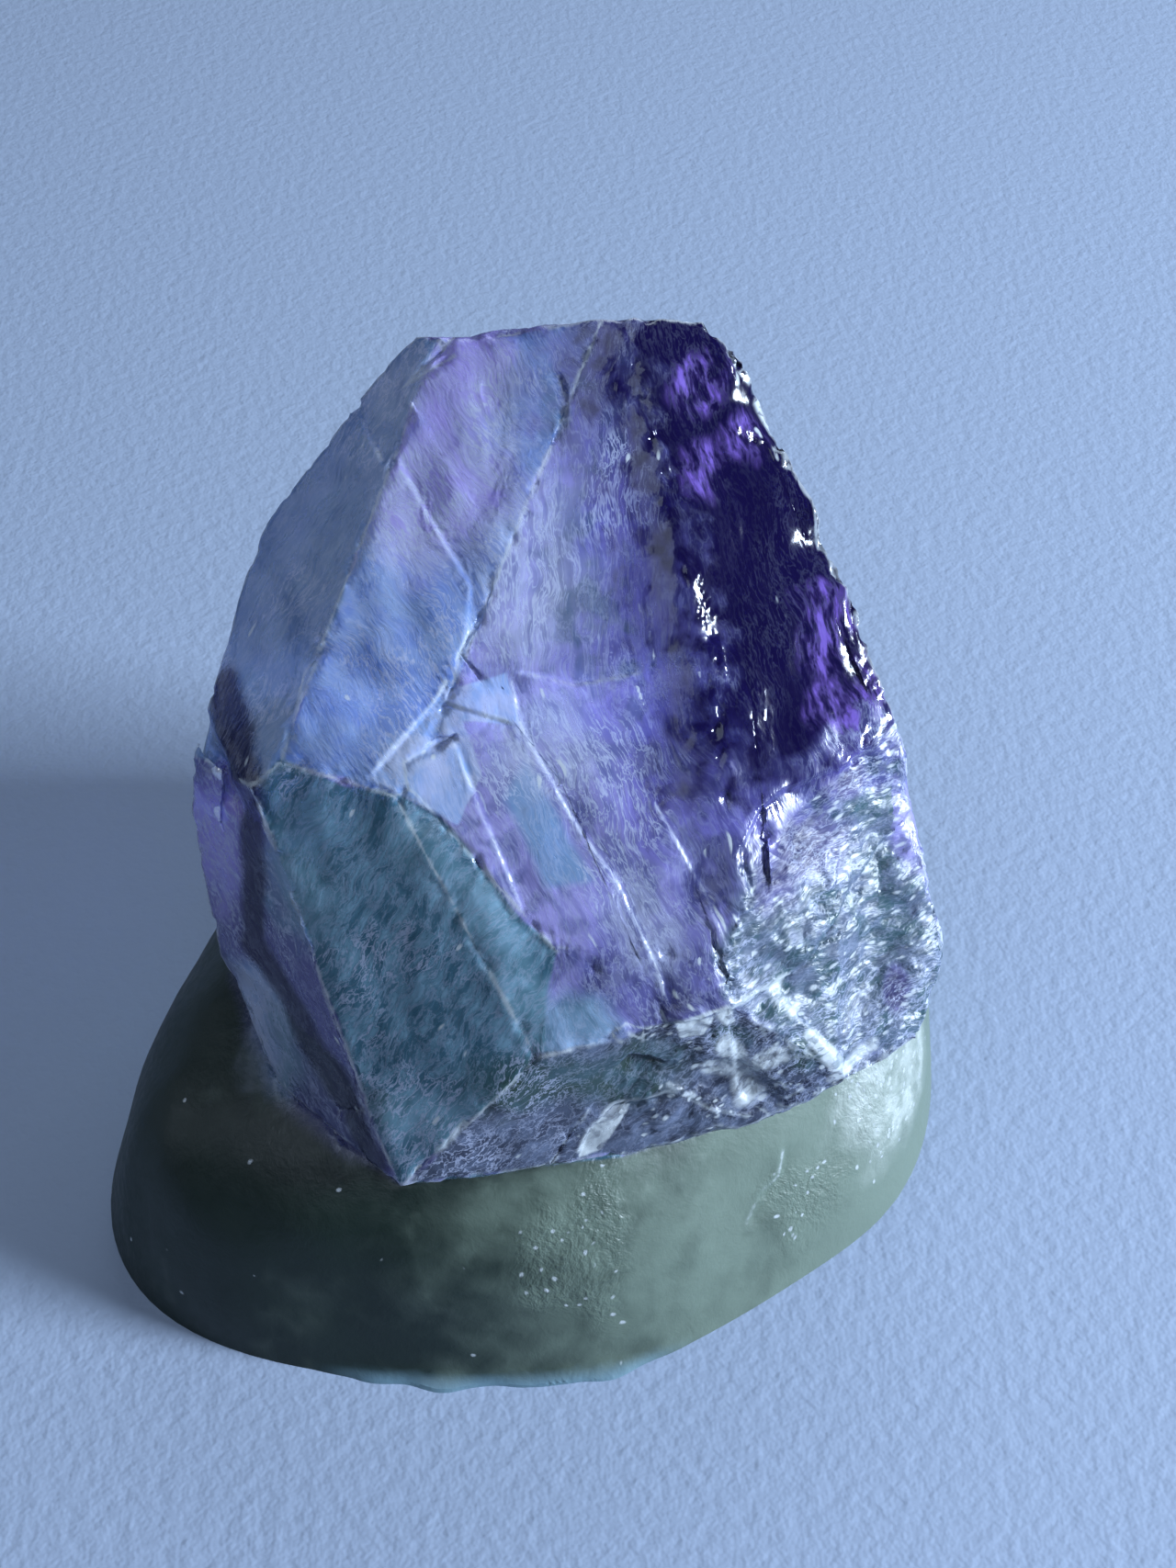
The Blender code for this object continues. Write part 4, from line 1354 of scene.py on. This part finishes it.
@dataclass(frozen=True)
class FluoriteFinish:
    """Zoned fluorite: see-through, from violet through blue to green, with veils and bright breaks."""

    fibre_scale: float = 2.3
    fibre_fineness: float = 0.04
    flake_scale: float = 4.2
    grit_scale: float = 3.6
    grit_detail: float = 2.0
    grit_roughness: float = 0.65
    grit_height: float = 0.05  # mm
    grit_strength: float = 0.5
    haze_base: float = 0.12
    haze_streaks: float = 0.45
    hair_level: float = 0.52
    hair_width: float = 0.035
    hair_share: float = 0.75
    thread_share: float = 0.9
    edge_width: float = 0.06  # mm
    edge_feather: float = 0.22  # mm
    edge_share: float = 0.6
    trace_streaks: float = 0.35
    trace_rim: Span = (0.55, 1.25)
    trace_share: float = 0.8
    shaded_chips: Span = (0.35, 0.75)
    chip_shade: float = 0.35
    white_chips: Span = (0.25, 0.6)
    white_base: float = 0.25
    white_jags: float = 0.65
    white_streaks: float = 0.45
    glint_chip_share: float = 0.8
    cleavage_roughness: float = 0.13
    fibre_roughness: float = 0.20
    break_roughness: float = 0.20
    lobe_roughness: float = 0.15
    violet_polish: float = 0.55
    foot_roughness: float = 0.38
    foot_variation: float = 0.12
    flake_polish: float = 0.3
    ior: float = 1.434
    transmission: float = 0.55
    absorption: Colour = (0.62, 0.70, 0.92)
    density: float = 18.0

    def build(self, effects: Effects) -> bpy.types.Material:
        """Makes the material.

        Args:
            effects: The shared node groups.

        Returns:
            The material.
        """
        material = bpy.data.materials.new("zoned_fluorite")
        material.use_nodes = True
        n = Nodes(material.node_tree)
        shader = material.node_tree.nodes["Principled BSDF"]
        output = material.node_tree.nodes["Material Output"]
        grain = n.add("ShaderNodeAttribute", attribute_name="grain").outputs["Vector"]
        fibres = n.group(effects.fibres, {"Vector": grain, "Scale": self.fibre_scale,
                                          "Fineness": self.fibre_fineness})
        flakes = n.group(effects.flakes, {"Vector": grain, "Scale": self.flake_scale,
                                          "Share": n.number("glint_chips")})
        grit = n.noise(grain, self.grit_scale, self.grit_detail, self.grit_roughness)
        m = Masks(n, fibres.outputs["Tone"])
        colour = self.zone_colours(n, m)
        colour = self.veils(n, m, fibres.outputs["Threads"], grit, colour)
        colour = self.breaks(n, m, flakes, colour)
        n.put(shader.inputs["Base Color"], colour)
        n.put(shader.inputs["Roughness"], self.roughness(n, m, flakes.outputs["Mask"]))
        height = n.math("MULTIPLY", grit, n.number("grit"))
        bump = n.add("ShaderNodeBump", {"Strength": self.grit_strength, "Distance": self.grit_height * MM,
                                        "Height": height})
        n.put(shader.inputs["Normal"], bump.outputs["Normal"])
        shader.inputs["IOR"].default_value = self.ior
        shader.inputs["Transmission Weight"].default_value = self.transmission
        inside = n.add("ShaderNodeVolumeAbsorption", {"Color": self.absorption, "Density": self.density})
        n.put(output.inputs["Volume"], inside.outputs[0])
        return material

    @staticmethod
    def layered(n: Nodes, m: Masks, colour: bpy.types.NodeSocket,
                layers: Sequence[Layer]) -> bpy.types.NodeSocket:
        """Lays colours over one another.

        Args:
            n: The material's nodes.
            m: The masks.
            colour: The colour underneath.
            layers: The colours, in order.

        Returns:
            The colour on top.
        """
        for layer in layers:
            tint = layer.dark.value
            if layer.light is not layer.dark:
                pattern = n.times(m[layer.pattern], layer.strength)
                tint = n.blend(pattern, layer.dark.value, layer.light.value)
            if layer.lobed:
                purple = n.blend(m["streaky"], Tint.PURPLE.value, Tint.LAVENDER.value)
                tint = n.blend(m["purple"], tint, purple)
            colour = n.blend(n.times(m[layer.mask], layer.share), colour, tint)
        return colour

    def zone_colours(self, n: Nodes, m: Masks) -> bpy.types.NodeSocket:
        """Body colour, zone by zone, on the crown and on the foot, with painted shade on the foot's left and
        a painted glow on its right.

        Args:
            n: The material's nodes.
            m: The masks.

        Returns:
            The colour.
        """
        crown = n.blend(m["streaky"], Tint.GREY_LAVENDER.value, Tint.LAVENDER.value)
        # painted shade: the foot goes from shaded olive on the left to lit sage on the right
        foot = n.blend(m["across"], Tint.OLIVE.value, Tint.SAGE.value)
        return n.blend(m["foot"], self.layered(n, m, crown, CROWN_LAYERS),
                       self.layered(n, m, foot, FOOT_LAYERS))

    def veils(self, n: Nodes, m: Masks, threads: bpy.types.NodeSocket, grit: bpy.types.NodeSocket,
              colour: bpy.types.NodeSocket) -> bpy.types.NodeSocket:
        """Milky veils, and the white threads and hairs that run through the crown.

        Args:
            n: The material's nodes.
            m: The masks.
            threads: The bright threads of the fibres.
            grit: The fine noise; hairs run where it is level.
            colour: The colour underneath.

        Returns:
            The colour.
        """
        level = n.math("ABSOLUTE", n.math("SUBTRACT", grit, self.hair_level))
        hairs = n.ease(level, self.hair_width, 0.0, self.hair_share)
        lines = n.math("MULTIPLY", n.math("MAXIMUM", threads, hairs), n.number("cover"))
        haze = n.math("MULTIPLY_ADD", m["tone"], self.haze_streaks, self.haze_base)
        haze = n.math("MULTIPLY", m["veil"], haze)
        colour = n.blend(haze, colour, Tint.VEIL_WHITE.value)
        return n.blend(n.times(lines, self.thread_share), colour, Tint.VEIL_WHITE.value)

    def breaks(self, n: Nodes, m: Masks, flakes: bpy.types.Node,
               colour: bpy.types.NodeSocket) -> bpy.types.NodeSocket:
        """Frosty edges of facets and sheets, and white flakes where the stone is broken; the flakes are
        partly white chips and partly painted glints.

        Args:
            n: The material's nodes.
            m: The masks.
            flakes: The flakes' node group.
            colour: The colour underneath.

        Returns:
            The colour.
        """
        reach = n.math("MULTIPLY_ADD", m["tone"], self.edge_feather, self.edge_width)
        edge = n.math("MULTIPLY", n.ease(m["crisp"], reach, 0.0), m["crown"])
        colour = n.blend(n.times(edge, self.edge_share), colour, Tint.FROST.value)
        trace = n.math("MULTIPLY_ADD", m["tone"], self.trace_streaks, m["trace"])
        trace = n.ease(trace, *self.trace_rim)
        colour = n.blend(n.times(trace, self.trace_share), colour, Tint.FROST.value)
        chips = flakes.outputs["Tone"]
        shade = n.math("MULTIPLY", m["rough"], n.ease(chips, *self.shaded_chips, self.chip_shade))
        colour = n.blend(shade, colour, Tint.DARK_TEAL.value, "MULTIPLY")
        white = n.math("MULTIPLY_ADD", n.ease(chips, *self.white_chips), self.white_jags, self.white_base)
        white = n.math("MULTIPLY_ADD", m["tone"], self.white_streaks, white)
        colour = n.blend(n.math("MULTIPLY", m["white"], white), colour, Tint.FROST.value)
        # white flakes: white chips and painted glints
        return n.blend(n.times(flakes.outputs["Mask"], self.glint_chip_share), colour, Tint.FROST.value)

    def roughness(self, n: Nodes, m: Masks, flakes: bpy.types.NodeSocket) -> bpy.types.NodeSocket:
        """Glassy cleavage and breaks, and a frosted foot.

        Args:
            n: The material's nodes.
            m: The masks.
            flakes: The flakes' mask.

        Returns:
            The roughness.
        """
        crown = n.math("MULTIPLY_ADD", m["tone"], self.fibre_roughness, self.cleavage_roughness)
        crown = n.math("MULTIPLY_ADD", m["broken"], self.break_roughness, crown)
        crown = n.math("MULTIPLY", crown, n.math("MULTIPLY_ADD", m["deep"], -self.violet_polish, 1.0))
        crown = n.math("MULTIPLY_ADD", m["lobe"], self.lobe_roughness, crown)
        foot = n.math("MULTIPLY_ADD", m["tone"], self.foot_variation, self.foot_roughness)
        foot = n.math("MULTIPLY_ADD", flakes, -self.flake_polish, foot)
        return n.math("MULTIPLY_ADD", crown, m["crown"], n.math("MULTIPLY", foot, m["foot"]))


# ---------------------------------------------------------------------------------------------- studio


@dataclass(frozen=True)
class SoftBox:
    """A studio light: where it stands and looks, in metres, with its size, watts and colour."""

    name: str
    azimuth: float
    elevation: float
    away: float
    width: float
    height: float
    watts: float
    colour: Colour

    def build(self, target: Vector) -> None:
        """Adds the light, turned to a target."""
        data = bpy.data.lights.new(self.name, "AREA")
        data.shape = "RECTANGLE"
        data.size = self.width
        data.size_y = self.height
        data.energy = self.watts
        data.color = self.colour
        obj = bpy.data.objects.new(self.name, data)
        offset = Vector(facing(self.azimuth, self.elevation)) * self.away
        obj.location = target + offset
        obj.rotation_euler = offset.to_track_quat("Z", "Y").to_euler()
        bpy.context.scene.collection.objects.link(obj)


@dataclass
class Studio:
    """Pale floor, soft lights and the camera."""

    aim: Point = (0.0, 0.0, 0.015)
    floor_radius: float = 2.0
    floor_sides: int = 96
    tooth_scale: float = 1.3
    tooth_height: float = 0.15  # mm
    tooth_strength: float = 0.7
    paper_roughness: float = 0.85
    paper: Colour = (0.225, 0.275, 0.37)
    sky: Colour = (0.62, 0.72, 0.92)
    sky_strength: float = 0.09
    camera_place: Point = (0.00282, -0.06332, 0.0907)
    camera_near: float = 0.001
    camera_pitch: float = 42.0
    lens: float = 50.0
    lights: Sequence[SoftBox] = (
        SoftBox("key_right", 80, 23, 0.42, 0.14, 0.10, 5.2, (0.70, 0.83, 1.0)),
        SoftBox("fill_top", -30, 68, 0.55, 0.40, 0.40, 1.0, (0.68, 0.81, 1.0)),
        SoftBox("fill_left", -95, 30, 0.60, 0.40, 0.30, 0.42, (0.68, 0.82, 1.0)),
        SoftBox("back_rim", 165, 40, 0.50, 0.35, 0.20, 0.8, (0.74, 0.86, 1.0)),
    )

    def build(self) -> None:
        """Makes the floor, lights, surroundings and camera."""
        self.make_floor()
        for light in self.lights:
            light.build(Vector(self.aim))
        self.make_surroundings()
        self.make_camera()

    def make_floor(self) -> None:
        """Lays a wide pale sheet with a faint paper tooth."""
        bm = bmesh.new()
        bmesh.ops.create_circle(bm, cap_ends=True, radius=self.floor_radius, segments=self.floor_sides)
        mesh = bpy.data.meshes.new("floor")
        bm.to_mesh(mesh)
        bm.free()
        floor = bpy.data.objects.new("floor", mesh)
        bpy.context.scene.collection.objects.link(floor)
        material = bpy.data.materials.new("pale_paper")
        material.use_nodes = True
        n = Nodes(material.node_tree)
        shader = material.node_tree.nodes["Principled BSDF"]
        p = n.scaled(n.add("ShaderNodeTexCoord").outputs["Object"], 1.0 / MM)
        tooth = n.noise(p, self.tooth_scale, 2.0, 0.6)
        n.put(shader.inputs["Base Color"], self.paper)
        shader.inputs["Roughness"].default_value = self.paper_roughness
        bump = n.add("ShaderNodeBump", {"Strength": self.tooth_strength, "Height": tooth,
                                        "Distance": self.tooth_height * MM})
        n.put(shader.inputs["Normal"], bump.outputs["Normal"])
        mesh.materials.append(material)

    def make_surroundings(self) -> None:
        """Lights the scene evenly from all round."""
        world = bpy.data.worlds.new("studio")
        world.use_nodes = True
        back = world.node_tree.nodes["Background"]
        back.inputs["Color"].default_value = (*self.sky, 1.0)
        back.inputs["Strength"].default_value = self.sky_strength
        bpy.context.scene.world = world
        bpy.context.scene.view_settings.view_transform = "Standard"

    def make_camera(self) -> None:
        """Sets the camera."""
        data = bpy.data.cameras.new("camera")
        data.lens = self.lens
        data.clip_start = self.camera_near
        obj = bpy.data.objects.new("camera", data)
        obj.location = self.camera_place
        obj.rotation_euler = (math.radians(self.camera_pitch), 0.0, 0.0)
        bpy.context.scene.collection.objects.link(obj)
        bpy.context.scene.camera = obj


def main() -> None:
    """Builds the stone, dresses it and lights it."""
    Studio().build()
    log.info("studio: floor, lights and camera")
    effects = Effects()
    body = CrystalBody()
    stone = body.build()
    stone.data.materials.append(FluoriteFinish().build(effects))
    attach(stone, "root")
    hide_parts("fluorite")
    log.info("fluorite_crystal: %d faces", len(stone.data.polygons))


if __name__ == "__main__":
    logging.basicConfig(level=logging.INFO)
    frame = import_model()
    main()
